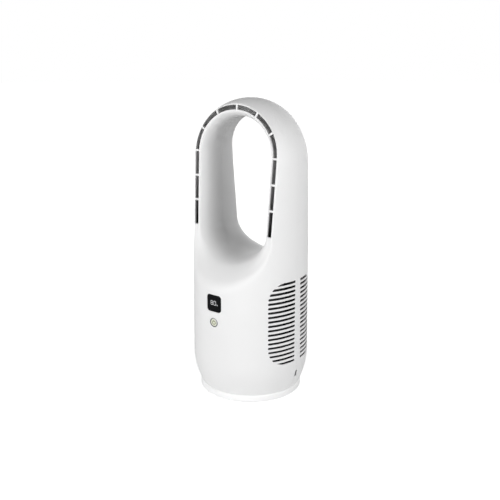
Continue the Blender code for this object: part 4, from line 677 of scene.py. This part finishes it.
def section(ray, inset, inner_round, outer_round):
    """One line around the shell's wall in front of the seam: hole, rim's face, outside."""
    edge = SEAM / 2

    def past_rim(depth):
        return depth - scoop_depth(hole_point(ray, depth, inset)[1], inset)
    reach = found(past_rim, 0.0, SEARCHED[0])
    inner = hole_point(ray, reach, inset)

    def wall(share):
        depth = edge + (reach - edge) * share
        x, height = hole_point(ray, reach * (depth / reach) ** WALL_BOW, inset)
        return Vector((x, -depth, height))
    centre = Vector((0.0, {"arch": LOOP_CENTRE, "low": LEG_FOOT, "leg": inner[1]}[ray[0]]))
    away = (inner - centre).normalized()

    def past_outside(far):
        x, height = inner + away * far
        return x ** 2 - half_width(height, scoop_depth(height, inset), inset)
    limit = found(past_outside, 0.0, SEARCHED[1])

    def face(far):
        x, height = inner + away * far
        return Vector((x, -scoop_depth(height, inset), height))
    corner = face(limit)
    path = outside_path(ray, corner, edge, inset)
    samples = [path(step / PATH_SAMPLES) for step in range(PATH_SAMPLES + 1)]
    length = sum((after - before).length for before, after in zip(samples, samples[1:]))
    wall_most, face_most, path_most = ROUND_MOST
    inner_share = 1.0 - min(wall_most, inner_round / (wall(1.0) - wall(0.0)).length)
    near = min(inner_round, face_most * limit)
    far = max(limit - outer_round, (1.0 - face_most) * limit)
    outer_share = min(path_most, outer_round / length)
    points = [wall(inner_share * step / WALL_STEPS) for step in range(WALL_STEPS)]
    points += rounded(wall(inner_share), face(0.0), face(near), ROUND_STEPS)
    points += [face(near + (far - near) * step / FACE_STEPS) for step in range(1, FACE_STEPS)]
    points += rounded(face(far), corner, path(outer_share), ROUND_STEPS)
    points += [path(outer_share + (1.0 - outer_share) * step / OUTSIDE_STEPS)
               for step in range(1, OUTSIDE_STEPS + 1)]
    return points


def widened(ray, rim, lip):
    """A rounding along the rim's face, wider towards the bottom of the hole."""
    part, share = ray
    if part != "low":
        return rim
    blend = cos(pi / 2 * share) ** 2
    return rim + (lip - rim) * blend


def band(mesh, first, second):
    """Faces between two closed lines with equally many corners."""
    for number in range(len(first)):
        after = (number + 1) % len(first)
        mesh.faces.new((first[number], first[after], second[after], second[number]))


def shell_half(name, facing):
    """One half of the body as a closed wall. facing is -1 in front and 1 behind."""
    rim, lip, outer, sill = ROUNDINGS[facing]
    mesh = bmesh.new()
    skins = []
    for inset in (0.0, WALL):
        lines = []
        for ray in rays():
            rounds = (widened(ray, rim, lip), widened(ray, outer, sill))
            lines.append(section(ray, inset, *((INNER_ROUND, INNER_ROUND) if inset else rounds)))
        turn = [[Vector((-x, y, z)) for x, y, z in line] for line in lines[1:-1]]
        skins.append([[mesh.verts.new((x, -facing * y, z)) for x, y, z in line]
                      for line in lines + turn[::-1]])
    for layer, skin in enumerate(skins):
        for line, after in zip(skin, skin[1:] + skin[:1]):
            for step in range(len(line) - 1):
                face = mesh.faces.new((line[step], line[step + 1], after[step + 1], after[step]))
                # The inner skin takes the painted shade of the inside
                face.material_index = layer
    for end in (0, -1):
        band(mesh, *([line[end] for line in skin] for skin in skins))
    return thing_of(name, outward(mesh), "white_shell", "shell_inside")


def block(outline, low, high):
    """A solid with a flat outline in X and Y, from one height to another."""
    mesh = bmesh.new()
    face = mesh.faces.new([mesh.verts.new((x, y, low)) for x, y in outline])
    raised = bmesh.ops.extrude_face_region(mesh, geom=[face])["geom"]
    corners = [item for item in raised if isinstance(item, bmesh.types.BMVert)]
    bmesh.ops.translate(mesh, verts=corners, vec=(0, 0, high - low))
    return outward(mesh)


def turned(profile, steps=96):
    """A solid turned about Z from a closed outline of (radius, height) points."""
    mesh = bmesh.new()
    corners = [mesh.verts.new((radius, 0.0, height)) for radius, height in profile]
    edges = []
    for first, second in zip(corners, corners[1:] + corners[:1]):
        if first.co.x > 0.0 or second.co.x > 0.0:
            edges.append(mesh.edges.new((first, second)))
    bmesh.ops.spin(mesh, geom=corners + edges, cent=(0, 0, 0), axis=(0, 0, 1),
                   angle=tau, steps=steps, use_merge=True)
    bmesh.ops.remove_doubles(mesh, verts=mesh.verts, dist=MERGED)
    return outward(mesh)


def drum(radius, low, high, steps=48):
    """A plain cylinder about Z."""
    return turned([(0.0, low), (radius, low), (radius, high), (0.0, high)], steps)


def arc(middle, reach, start, sweep, steps):
    """Points of an arc about a middle, with its reach in both directions."""
    turns = [start + sweep * step / steps for step in range(steps + 1)]
    return [(middle[0] + reach[0] * cos(turn), middle[1] + reach[1] * sin(turn)) for turn in turns]


def rounded_outline(width, height, corner, steps=8):
    """A rounded rectangle about the origin."""
    points = []
    for quarter, (side, end) in enumerate(QUARTERS):
        middle = (side * (width / 2 - corner), end * (height / 2 - corner))
        points += arc(middle, (corner, corner), pi / 2 * quarter, pi / 2, steps)
    return points


def placed(mesh, matrix):
    """Move a bmesh by a matrix."""
    bmesh.ops.transform(mesh, matrix=matrix, verts=mesh.verts)
    return mesh


QUARTERS = ((1, 1), (-1, 1), (-1, -1), (1, -1))
TO_FRONT = Matrix.Rotation(pi / 2, 4, "X")
TO_REAR = Matrix.Rotation(-pi / 2, 4, "X")
TO_RIGHT = Matrix(((0, 0, 1, 0), (1, 0, 0, 0), (0, 1, 0, 0), (0, 0, 0, 1)))


def front_at(height):
    """Where a shape made along Z stands when it faces forward at a height."""
    return Matrix.Translation((0.0, 0.0, height)) @ TO_FRONT


class Tree(Nodes):
    """A Geometry Nodes tree with named inputs and a look."""

    def __init__(self, name, **inputs):
        super().__init__(bpy.data.node_groups.new(name, "GeometryNodeTree"))
        self.names = {}
        for label, kind in {**inputs, "Look": "Material"}.items():
            socket = self.tree.interface.new_socket(name=label, in_out="INPUT",
                                                    socket_type=f"NodeSocket{kind}")
            self.names[label] = socket.identifier
        self.tree.interface.new_socket(name="Geometry", in_out="OUTPUT", socket_type="NodeSocketGeometry")
        self.entry = self.tree.nodes.new("NodeGroupInput")
        self.exit = self.tree.nodes.new("NodeGroupOutput")

    def given(self, label):
        return self.term(self.entry.outputs[label])

    def point(self, **parts):
        return self.node("ShaderNodeCombineXYZ", **parts)

    def finish(self, geometry):
        """End in Realize Instances and Set Material."""
        real = self.node("GeometryNodeRealizeInstances", Geometry=geometry)
        coat = self.node("GeometryNodeSetMaterial", Geometry=real, Material=self.given("Look"))
        self.feed(self.exit.inputs[0], coat)
        return self

    def grow(self, name, base, look, **values):
        """The mesh that the tree makes from a base mesh and its inputs, as an object."""
        made = thing_of(name, base)
        step = made.modifiers.new(self.tree.name, "NODES")
        step.node_group = self.tree
        for label, value in {**values, "Look": LOOKS[look]}.items():
            step[self.names[label]] = value
        settle(made)
        return made


def inlet_tree():
    """Inlet slots bent around the body, shorter towards the corners of their group."""
    numbers = "Pitch Slot Strip Reach Corner Centre Radius Depth Proud Draft Lean Facing Side".split()
    tree = Tree("inlet_slots", Mesh="Geometry", Slots="Int", **dict.fromkeys(numbers, "Float"))
    (pitch, slot, strip, reach, corner, centre, radius, depth, proud, draft, lean, facing,
     side) = map(tree.given, numbers)
    half = (tree.given("Slots") - 1.0) * (pitch * 0.5)
    line = tree.node("GeometryNodeMeshLine", Count=tree.given("Slots"),
                     Start_Location=tree.point(Z=centre - half), Offset=tree.point(Z=pitch))
    # A bar's X runs along its slot from the strip, its Y is the slot's height, and its Z is the depth
    spot = tree.node("GeometryNodeInputPosition")
    x, y, z = (tree.term(part) for part in tree.node("ShaderNodeSeparateXYZ", Vector=spot).outputs)
    held = tree.node("GeometryNodeStoreNamedAttribute", Geometry=line, Name="slot_height", Value=z)
    length = reach - strip * 0.5
    shape = tree.node("GeometryNodeCurvePrimitiveQuadrilateral", Width=length, Height=slot)
    soft = tree.node("GeometryNodeFilletCurve", {"mode": "POLY"}, Curve=shape, Count=3, Radius=slot * 0.49)
    parted = tree.node("GeometryNodeSubdivideCurve", Curve=soft, Cuts=3)
    spine = tree.node("GeometryNodeCurvePrimitiveLine", Start=tree.point(Z=depth * -1.0),
                      End=tree.point(Z=proud))
    bar = tree.node("GeometryNodeCurveToMesh", Curve=spine, Profile_Curve=parted, Fill_Caps=True)
    copies = tree.node("GeometryNodeInstanceOnPoints", Points=held, Instance=bar)
    real = tree.node("GeometryNodeRealizeInstances", Geometry=copies)
    named = tree.node("GeometryNodeInputNamedAttribute", Name="slot_height")
    height = tree.term(named)
    level = (height + y - centre).of("ABSOLUTE")
    into = (level - (half + slot * 0.5 - corner)).of("MAXIMUM")
    held_back = corner - (corner ** 2.0 - into ** 2.0).of("SQRT")
    share = x / length + 0.5
    lift = z - height
    along = share * (length - held_back) + lift * lean * (1.0 - share) + strip * 0.5
    angle = along / radius
    bent = tree.point(X=side * ((radius + lift) * angle.of("COSINE")),
                      Y=facing * ((radius + lift) * angle.of("SINE")),
                      Z=height + y * (1.0 - lift * draft))
    moved = tree.node("GeometryNodeSetPosition", Geometry=real, Position=bent)
    return tree.finish(moved)


def outlet_tree():
    """Outlet slots that follow lines on the rim's face."""
    tree = Tree("outlet_slots", Mesh="Geometry", Width="Float", Depth="Float")
    lines = tree.node("GeometryNodeMeshToCurve", Mesh=tree.given("Mesh"))
    facing = tree.node("GeometryNodeSetCurveNormal", {"mode": "FREE"}, Curve=lines, Normal=(0.0, -1.0, 0.0))
    narrow = tree.node("GeometryNodeInputNamedAttribute", Name="slot_share")
    sized = tree.node("GeometryNodeSetCurveRadius", Curve=facing, Radius=narrow)
    shape = tree.node("GeometryNodeCurvePrimitiveQuadrilateral", Width=tree.given("Depth"),
                      Height=tree.given("Width"))
    bar = tree.node("GeometryNodeCurveToMesh", Curve=sized, Profile_Curve=shape, Fill_Caps=True)
    return tree.finish(bar)


def repeat_tree():
    """One shape repeated at every point of the base mesh."""
    tree = Tree("repeated_pieces", Mesh="Geometry", Shape="Object")
    shape = tree.node("GeometryNodeObjectInfo", Object=tree.given("Shape"))
    copies = tree.node("GeometryNodeInstanceOnPoints", Points=tree.given("Mesh"),
                       Instance=shape.outputs["Geometry"])
    return tree.finish(copies)


def points_mesh(points):
    """Loose points for a tree to work on."""
    mesh = bmesh.new()
    for point in points:
        mesh.verts.new(point)
    return mesh


def rim_edges(height):
    """Inner and outer half-widths of the rim's face at a height of its straight part."""
    depth = rim_depth(height)
    share = (height - LEG_FOOT) / (LOOP_CENTRE - LEG_FOOT)
    inner = hole_point(("leg", share), depth, 0.0)[0]
    return inner, sqrt(body_radius(height) ** 2 - depth ** 2)


def arch_top():
    """Height of the middle of the rim's face at the top of the loop."""
    inner = LOOP_CENTRE + HOLE_ARCH_RISE + HOLE_ARCH_FLARE * rim_depth(LOOP_CENTRE + HOLE_ARCH_RISE)
    share = rim_depth(DOME_START + DOME_HEIGHT) / SHOULDER_RADIUS
    return (inner + DOME_START + DOME_HEIGHT * sqrt(1.0 - share ** 2)) / 2


def outlet_lines():
    """The middle line of each outlet slot on the rim's face, with its share of the width at each point."""
    wide = sum(rim_edges(LOOP_CENTRE)) / 2
    tall = arch_top() - LOOP_CENTRE
    half_rib = OUTLET_RIB / 2
    rib = half_rib / wide
    sweep = pi / ARCH_OUTLETS
    lines = []
    for number in range(ARCH_OUTLETS):
        line = arc((0.0, LOOP_CENTRE), (wide, tall), number * sweep + rib, sweep - 2 * rib, OUTLET_STEPS)
        lines.append([(x, height, 1.0) for x, height in line])
    pitch = (LOOP_CENTRE - LEG_FOOT) / LEG_OUTLETS
    for number in range(LEG_OUTLETS):
        top = LOOP_CENTRE - pitch * number - half_rib
        low = LOOP_CENTRE - pitch * (number + 1) + half_rib
        heights = [top + (low - top) * step / OUTLET_STEPS for step in range(OUTLET_STEPS + 1)]
        shares = [1.0] * len(heights)
        if number == LEG_OUTLETS - 1:
            low -= OUTLET_END
            heights[-1:] = [low + OUTLET_SOFT * part for part, share in OUTLET_NARROWS]
            shares[-1:] = [share for part, share in OUTLET_NARROWS]
        for side in (-1, 1):
            lines.append([(side * sum(rim_edges(height)) / 2, height, share)
                          for height, share in zip(heights, shares)])
    return lines


def outlet_cutter(tree):
    """The outlet slots as solids that cut through the rim's face."""
    mesh = bmesh.new()
    layer = mesh.verts.layers.float.new("slot_share")
    for line in outlet_lines():
        corners = []
        for x, height, share in line:
            corners.append(mesh.verts.new((x, -rim_depth(height), height)))
            corners[-1][layer] = share
        for first, second in zip(corners, corners[1:]):
            mesh.edges.new((first, second))
    return tree.grow("outlet_slots", mesh, "white_shell", Width=OUTLET_WIDTH, Depth=OUTLET_CUT)


def inlet_cutter(tree, facing, side):
    """One group of inlet slots as solids that cut through the body's wall."""
    return tree.grow(f"inlet_slots_{facing}_{side}", points_mesh([(0.0, 0.0, 0.0)]), "white_shell",
                     Strip=GRILLE_STRIPS[facing], Facing=float(facing), Side=float(side), **GRILLE)


def port_cutter():
    """The opening of the charging port, across the seam."""
    mesh = block(rounded_outline(PORT_WIDTH, PORT_TALL, PORT_CORNER), body_radius(PORT_HEIGHT) - PORT_DEPTH,
                 BODY_RADIUS + PORT_PROUD)
    place = Matrix.Translation((0.0, PORT_SIDE, PORT_HEIGHT)) @ TO_RIGHT
    return thing_of("port_opening", placed(mesh, place))


def shells(inlets, outlets):
    """Both halves of the body with all their openings."""
    front = shell_half("front_shell_skin", -1)
    outline = rounded_outline(DISPLAY_WIDTH + GAP, DISPLAY_TALL + GAP, DISPLAY_CORNER)
    pane = thing_of("window_opening", placed(block(outline, *FRONT_CUT), front_at(DISPLAY_HEIGHT)))
    bore = thing_of("button_opening", placed(drum(BEZEL_RADIUS + GAP / 2, *FRONT_CUT, steps=96),
                                             front_at(BUTTON_HEIGHT)))
    cut(front, outlet_cutter(outlets), inlet_cutter(inlets, -1, 1), inlet_cutter(inlets, -1, -1), pane, bore,
        port_cutter())
    rear = shell_half("rear_shell_skin", 1)
    posts = []
    ways = []
    for x, height in SHELL_SCREWS:
        place = Matrix.Translation((x, 0.0, height)) @ TO_REAR
        post = placed(drum(POST_RADIUS, GAP / 2, POST_LENGTH), place)
        for corner in post.verts:
            if corner.co.y > POST_LENGTH / 2:
                corner.co.y = sqrt((body_radius(height) - WALL / 2) ** 2 - corner.co.x ** 2)
        # The posts take the inner face's painted shade
        for face in post.faces:
            face.material_index = 1
        posts.append(thing_of("screw_post", post, "white_shell", "shell_inside"))
        way = drum(SCREW_HEAD + GAP, SHELL_SCREW_WEB, WAY_END)
        ways.append(thing_of("screw_way", placed(way, place)))
    cut(rear, *posts, operation="UNION")
    cut(rear, inlet_cutter(inlets, 1, 1), inlet_cutter(inlets, 1, -1), port_cutter(), *ways)
    keep(front, "housing", "white_shell", "front_shell")
    keep(rear, "housing", "white_shell", "rear_shell")


def foot(tree):
    """The foot ring with the ways for its screws, and its rubber feet."""
    low, high = FOOT_ROUNDS
    inner, outer = COLLAR_RADII
    profile = [(0.0, FOOT_CLEARANCE)]
    profile += arc((FOOT_RADIUS - low, FOOT_CLEARANCE + low), (low, low), -pi / 2, pi / 2, 6)
    profile += arc((FOOT_RADIUS - high, FOOT_TOP - high), (high, high), 0.0, pi / 2, 6)
    profile += [(outer, FOOT_TOP), (outer, COLLAR_TOP), (inner, COLLAR_TOP), (inner, FOOT_FLOOR),
                (0.0, FOOT_FLOOR)]
    ring = thing_of("foot_ring", turned(profile, 160), "foot_plastic")
    posts = []
    ways = []
    for x, y in QUARTERS:
        place = Matrix.Translation((x * BASE_SCREW_PLACE, y * BASE_SCREW_PLACE, 0.0))
        posts.append(thing_of("foot_post", placed(drum(*FOOT_POST), place)))
        ways.append(thing_of("foot_way", placed(drum(*FOOT_WAY), place)))
    rest = [(x, y, 0.0) for x, y in arc((0.0, 0.0), (RUBBER_CIRCLE, RUBBER_CIRCLE), 0.0, tau, 4)[:-1]]
    for spot in rest:
        ways.append(thing_of("rubber_way", placed(drum(*RUBBER_WAY), Matrix.Translation(spot))))
    cut(ring, *posts, operation="UNION")
    cut(ring, *ways)
    keep(ring, "housing", "foot_plastic", "base_plate")
    shape = thing_of("rubber_pad", turned(RUBBER_OUTLINE, 48))
    feet = tree.grow("rubber_feet", points_mesh(rest), "rubber", Shape=shape)
    bpy.data.objects.remove(shape, do_unlink=True)
    keep(feet, "housing", "rubber", "rubber_foot_1", "rubber_foot_2", "rubber_foot_3", "rubber_foot_4")


def cross_screw():
    """A pan-head screw with a cross recess, its head down along -Z and its shank up."""
    dome = [(SCREW_HEAD * sin(turn), -SCREW_DOME * cos(turn))
            for turn in (pi / 2 * step / 6 for step in range(7))]
    shank = [(SCREW_SHANK, 0.0), (SCREW_SHANK, SCREW_LENGTH), (0.0, SCREW_LENGTH)]
    shape = thing_of("cross_screw", turned(dome + shank, 32), "steel")
    arms = []
    for turn in (0.0, pi / 2):
        arm = block(rounded_outline(*RECESS_ARM, 2), *RECESS_DEPTHS)
        arms.append(thing_of("recess_arm", placed(arm, Matrix.Rotation(turn, 4, "Z"))))
    return cut(shape, *arms)


def screws(tree):
    """The screws that show from below and behind."""
    shape = cross_screw()
    places = [(x * BASE_SCREW_PLACE, y * BASE_SCREW_PLACE, BASE_SCREW_SEAT) for x, y in QUARTERS]
    low = tree.grow("base_screws", points_mesh(places), "steel", Shape=shape)
    shape.data.transform(TO_FRONT)
    places = [(x, SHELL_SCREW_WEB + GAP, height) for x, height in SHELL_SCREWS]
    rear = tree.grow("shell_screws", points_mesh(places), "steel", Shape=shape)
    bpy.data.objects.remove(shape, do_unlink=True)
    for thing, nodes in ((low, "base_screw"), (rear, "shell_screw")):
        keep(thing, "housing", "steel", *[f"{nodes}_{number}" for number in range(1, 5)])


def on_front(outline, radius):
    """A thin solid from a flat outline (x, height), laid on the round front of the body."""
    mesh = bmesh.new()
    rows = [[mesh.verts.new((x, -sqrt(radius ** 2 - x ** 2) - lift, height)) for x, height in outline]
            for lift in DIGIT_LIFTS]
    band(mesh, *rows)
    for row in rows:
        edges = [edge for edge in mesh.edges if all(corner in row for corner in edge.verts)]
        bmesh.ops.triangle_fill(mesh, edges=edges, use_beauty=True)
    return outward(mesh)


def window():
    """The display's black lens, bent with the body and softened along its border."""
    radius = body_radius(DISPLAY_HEIGHT)
    mesh = bmesh.new()
    rings = []
    for lift, inset in WINDOW_EDGE:
        outline = rounded_outline(DISPLAY_WIDTH - 2 * inset, DISPLAY_TALL - 2 * inset,
                                  DISPLAY_CORNER - inset, 10)
        rings.append([(x, y, lift) for x, y in outline])
    border = rings[-1]
    rings += [[(x * share, y * share, 0.0) for x, y, lift in border] for share in WINDOW_RINGS]

    def bent(x, y, lift):
        across = radius + lift
        return mesh.verts.new((x, -sqrt(across ** 2 - x ** 2), DISPLAY_HEIGHT + y))
    rows = [[bent(*point) for point in line] for line in rings]
    for first, second in zip(rows, rows[1:]):
        band(mesh, first, second)
    for row, lift in ((rows[0], -WINDOW_THICKNESS), (rows[-1], 0.0)):
        middle = bent(0.0, 0.0, lift)
        for first, second in zip(row, row[1:] + row[:1]):
            mesh.faces.new((first, second, middle))
    glass = thing_of("display_glass", outward(mesh), "display_lens")
    smooth(glass)
    keep(glass, "housing", "display_lens", "display_window")


def digit(middle, height, strokes):
    """Outlines of the lit strokes of one number."""
    half = DIGIT_TALL / 2
    side = DIGIT_WIDE / 2
    spots = {"a": (0, half), "g": (0, 0), "d": (0, -half), "b": (side, half / 2), "f": (-side, half / 2),
             "c": (side, -half / 2), "e": (-side, -half / 2)}
    made = []
    for name in strokes:
        x, z = spots[name]
        spot = Vector((x + middle, z + height))
        long, tip = (side, Vector((1, 0))) if name in "agd" else (half / 2, Vector((0, 1)))
        aside = Vector((-tip[1], tip[0])) * STROKE / 2
        start = spot - tip * (long - STROKE_GAP)
        end = spot + tip * (long - STROKE_GAP)
        inner = tip * STROKE / 2
        made.append([start, start + inner + aside, end - inner + aside, end, end - inner - aside,
                     start + inner - aside])
    return made


def joined(name, meshes, look):
    """Several bmeshes as one object."""
    whole = bmesh.new()
    for mesh in meshes:
        scratch = bpy.data.meshes.new("scratch")
        mesh.to_mesh(scratch)
        mesh.free()
        whole.from_mesh(scratch)
        bpy.data.meshes.remove(scratch)
    return thing_of(name, whole, look)


def stroke_line(start, end, width):
    """A straight stroke between two points, as an outline."""
    start, end = Vector(start), Vector(end)
    along = (end - start).normalized()
    aside = Vector((-along[1], along[0])) * width / 2
    return [start + aside, end + aside, end - aside, start - aside]


def display_digits():
    """Lit numbers of the charge left, with a small per cent sign."""
    level = DISPLAY_HEIGHT + DIGIT_RAISE
    outlines = []
    for strokes, middle in DIGITS:
        outlines += digit(middle, level, strokes)
    outlines += [arc((x, level + z), (SIGN_DOT, SIGN_DOT), 0.0, tau, 20)[:-1] for x, z in SIGN_DOTS]
    outlines.append(stroke_line(*[(x, level + z) for x, z in SIGN_SLASH], SIGN_STROKE))
    radius = body_radius(DISPLAY_HEIGHT)
    made = joined("display_digits", [on_front(outline, radius) for outline in outlines], "display_digits")
    keep(made, "housing", "display_lens")


def button():
    """The metal ring, the pressed cap and its power sign."""
    face = body_radius(BUTTON_HEIGHT)
    place = front_at(BUTTON_HEIGHT)
    bore = BUTTON_RADIUS + GAP
    low = face + BEZEL_PROUD - BEZEL_DEPTH
    crown = arc(((BEZEL_RADIUS + bore) / 2, face + RING_PROUD - BEZEL_CROWN),
                ((BEZEL_RADIUS - bore) / 2, BEZEL_CROWN), 0.0, pi, 10)
    ring = thing_of("bezel_ring", placed(turned([(bore, low), (BEZEL_RADIUS, low)] + crown), place),
                    "satin_metal")
    smooth(ring, CROWN_SHARP)
    keep(ring, "housing", "satin_metal", "button_bezel")
    edge = arc((BUTTON_RADIUS - BUTTON_EDGE, face - BUTTON_EDGE), (BUTTON_EDGE, BUTTON_EDGE), 0.0,
               pi / 2, 5)
    dish = [(radius, face - depth) for radius, depth in BUTTON_DISH]
    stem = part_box("power_button")
    inner = -stem[1][1]
    back = BODY_RADIUS - BUTTON_BACK - GAP
    seat = back - FLANGE_THICKNESS
    profile = [(0.0, inner), (STEM_RADIUS, inner), (STEM_RADIUS, seat), (FLANGE_RADIUS, seat),
               (FLANGE_RADIUS, back), (BUTTON_RADIUS, back)]
    cap = thing_of("button_cap", placed(turned(profile + edge + dish), place), "button_plastic")
    smooth(cap)
    keep(cap, "button", "button_plastic", "power_button")
    outside, within = (arc((0.0, 0.0), (radius, radius), pi / 2 + POWER_OPENING,
                           tau - 2 * POWER_OPENING, POWER_STEPS) for radius in POWER_RADII)
    bar = [(x, y + POWER_BAR_RAISE) for x, y in rounded_outline(*POWER_BAR, 3)]
    shapes = [placed(block(outline, *(face + lift for lift in POWER_LIFTS)), place)
              for outline in (outside + within[::-1], bar)]
    keep(joined("power_sign", shapes, "power_sign"), "button", "button_plastic")


def studio():
    """Pale floor, soft lamps and a white surround that only the camera and gloss see."""
    made = Finish("floor")
    reach = made.row("ShaderNodeVectorMath", made.place(), operation="LENGTH")
    ramp = made.node("ShaderNodeMapRange", {"interpolation_type": "SMOOTHSTEP"}, Value=reach.outputs["Value"],
                     From_Min=FLOOR_NEAR, From_Max=FLOOR_FAR)
    rays = made.node("ShaderNodeLightPath")
    made.finish(Base_Color=(FLOOR_TONE, FLOOR_TONE, FLOOR_TONE), Roughness=0.9, Specular_IOR_Level=0.0)
    near, far = (made.row("ShaderNodeAddShader", made.shader,
                          made.node("ShaderNodeEmission", Color=(1.0, 1.0, 1.0), Strength=strength))
                 for strength in FLOOR_GLOWS)
    seen = made.row("ShaderNodeMixShader", ramp, near, far)
    made.feed(made.tree.nodes["Material Output"].inputs["Surface"],
              made.row("ShaderNodeMixShader", rays.outputs["Is Camera Ray"], made.shader, seen))
    mesh = bmesh.new()
    bmesh.ops.create_circle(mesh, cap_ends=True, radius=FLOOR_RADIUS, segments=96)
    floor = thing_of("floor", mesh, "floor")
    world = bpy.data.worlds.new("surround")
    scene.world = world
    world.use_nodes = True
    sky = Nodes(world.node_tree)
    rays = sky.node("ShaderNodeLightPath")
    camera_ray, clear_ray, gloss_ray = (sky.term(rays.outputs[f"Is {kind} Ray"])
                                        for kind in ("Camera", "Transmission", "Glossy"))
    glow = (camera_ray + clear_ray).of("MAXIMUM", gloss_ray * GLOSS_LIGHT).of("MAXIMUM", WORLD_LIGHT)
    back = sky.tree.nodes["Background"]
    sky.feed(back.inputs["Strength"], glow)
    sky.feed(back.inputs["Color"], (1.0, 1.0, 1.0))
    for name, place, size, power in LAMPS:
        lamp = bpy.data.lights.new(name, "AREA")
        lamp.shape = "DISK"
        lamp.size = size
        lamp.energy = power
        thing = shown(name, lamp)
        away = (LAMP_TARGET - Vector(place)).normalized()
        thing.matrix_world = Matrix.Translation(place) @ away.to_track_quat("-Z", "Y").to_matrix().to_4x4()
        thing.visible_camera = False
    scene.view_settings.view_transform = "Standard"


def camera():
    """The photograph's viewpoint."""
    data = bpy.data.cameras.new("camera")
    data.lens = LENS
    data.sensor_width = SENSOR
    thing = shown("camera", data)
    up = RIGHT.cross(FORWARD)
    turn = Matrix((RIGHT, up, -FORWARD)).transposed().to_4x4()
    thing.matrix_world = Matrix.Translation(EYE) @ turn
    scene.camera = thing


camera()
dress_cad()
studio()
repeat = repeat_tree()
shells(inlet_tree(), outlet_tree())
foot(repeat)
screws(repeat)
window()
display_digits()
button()
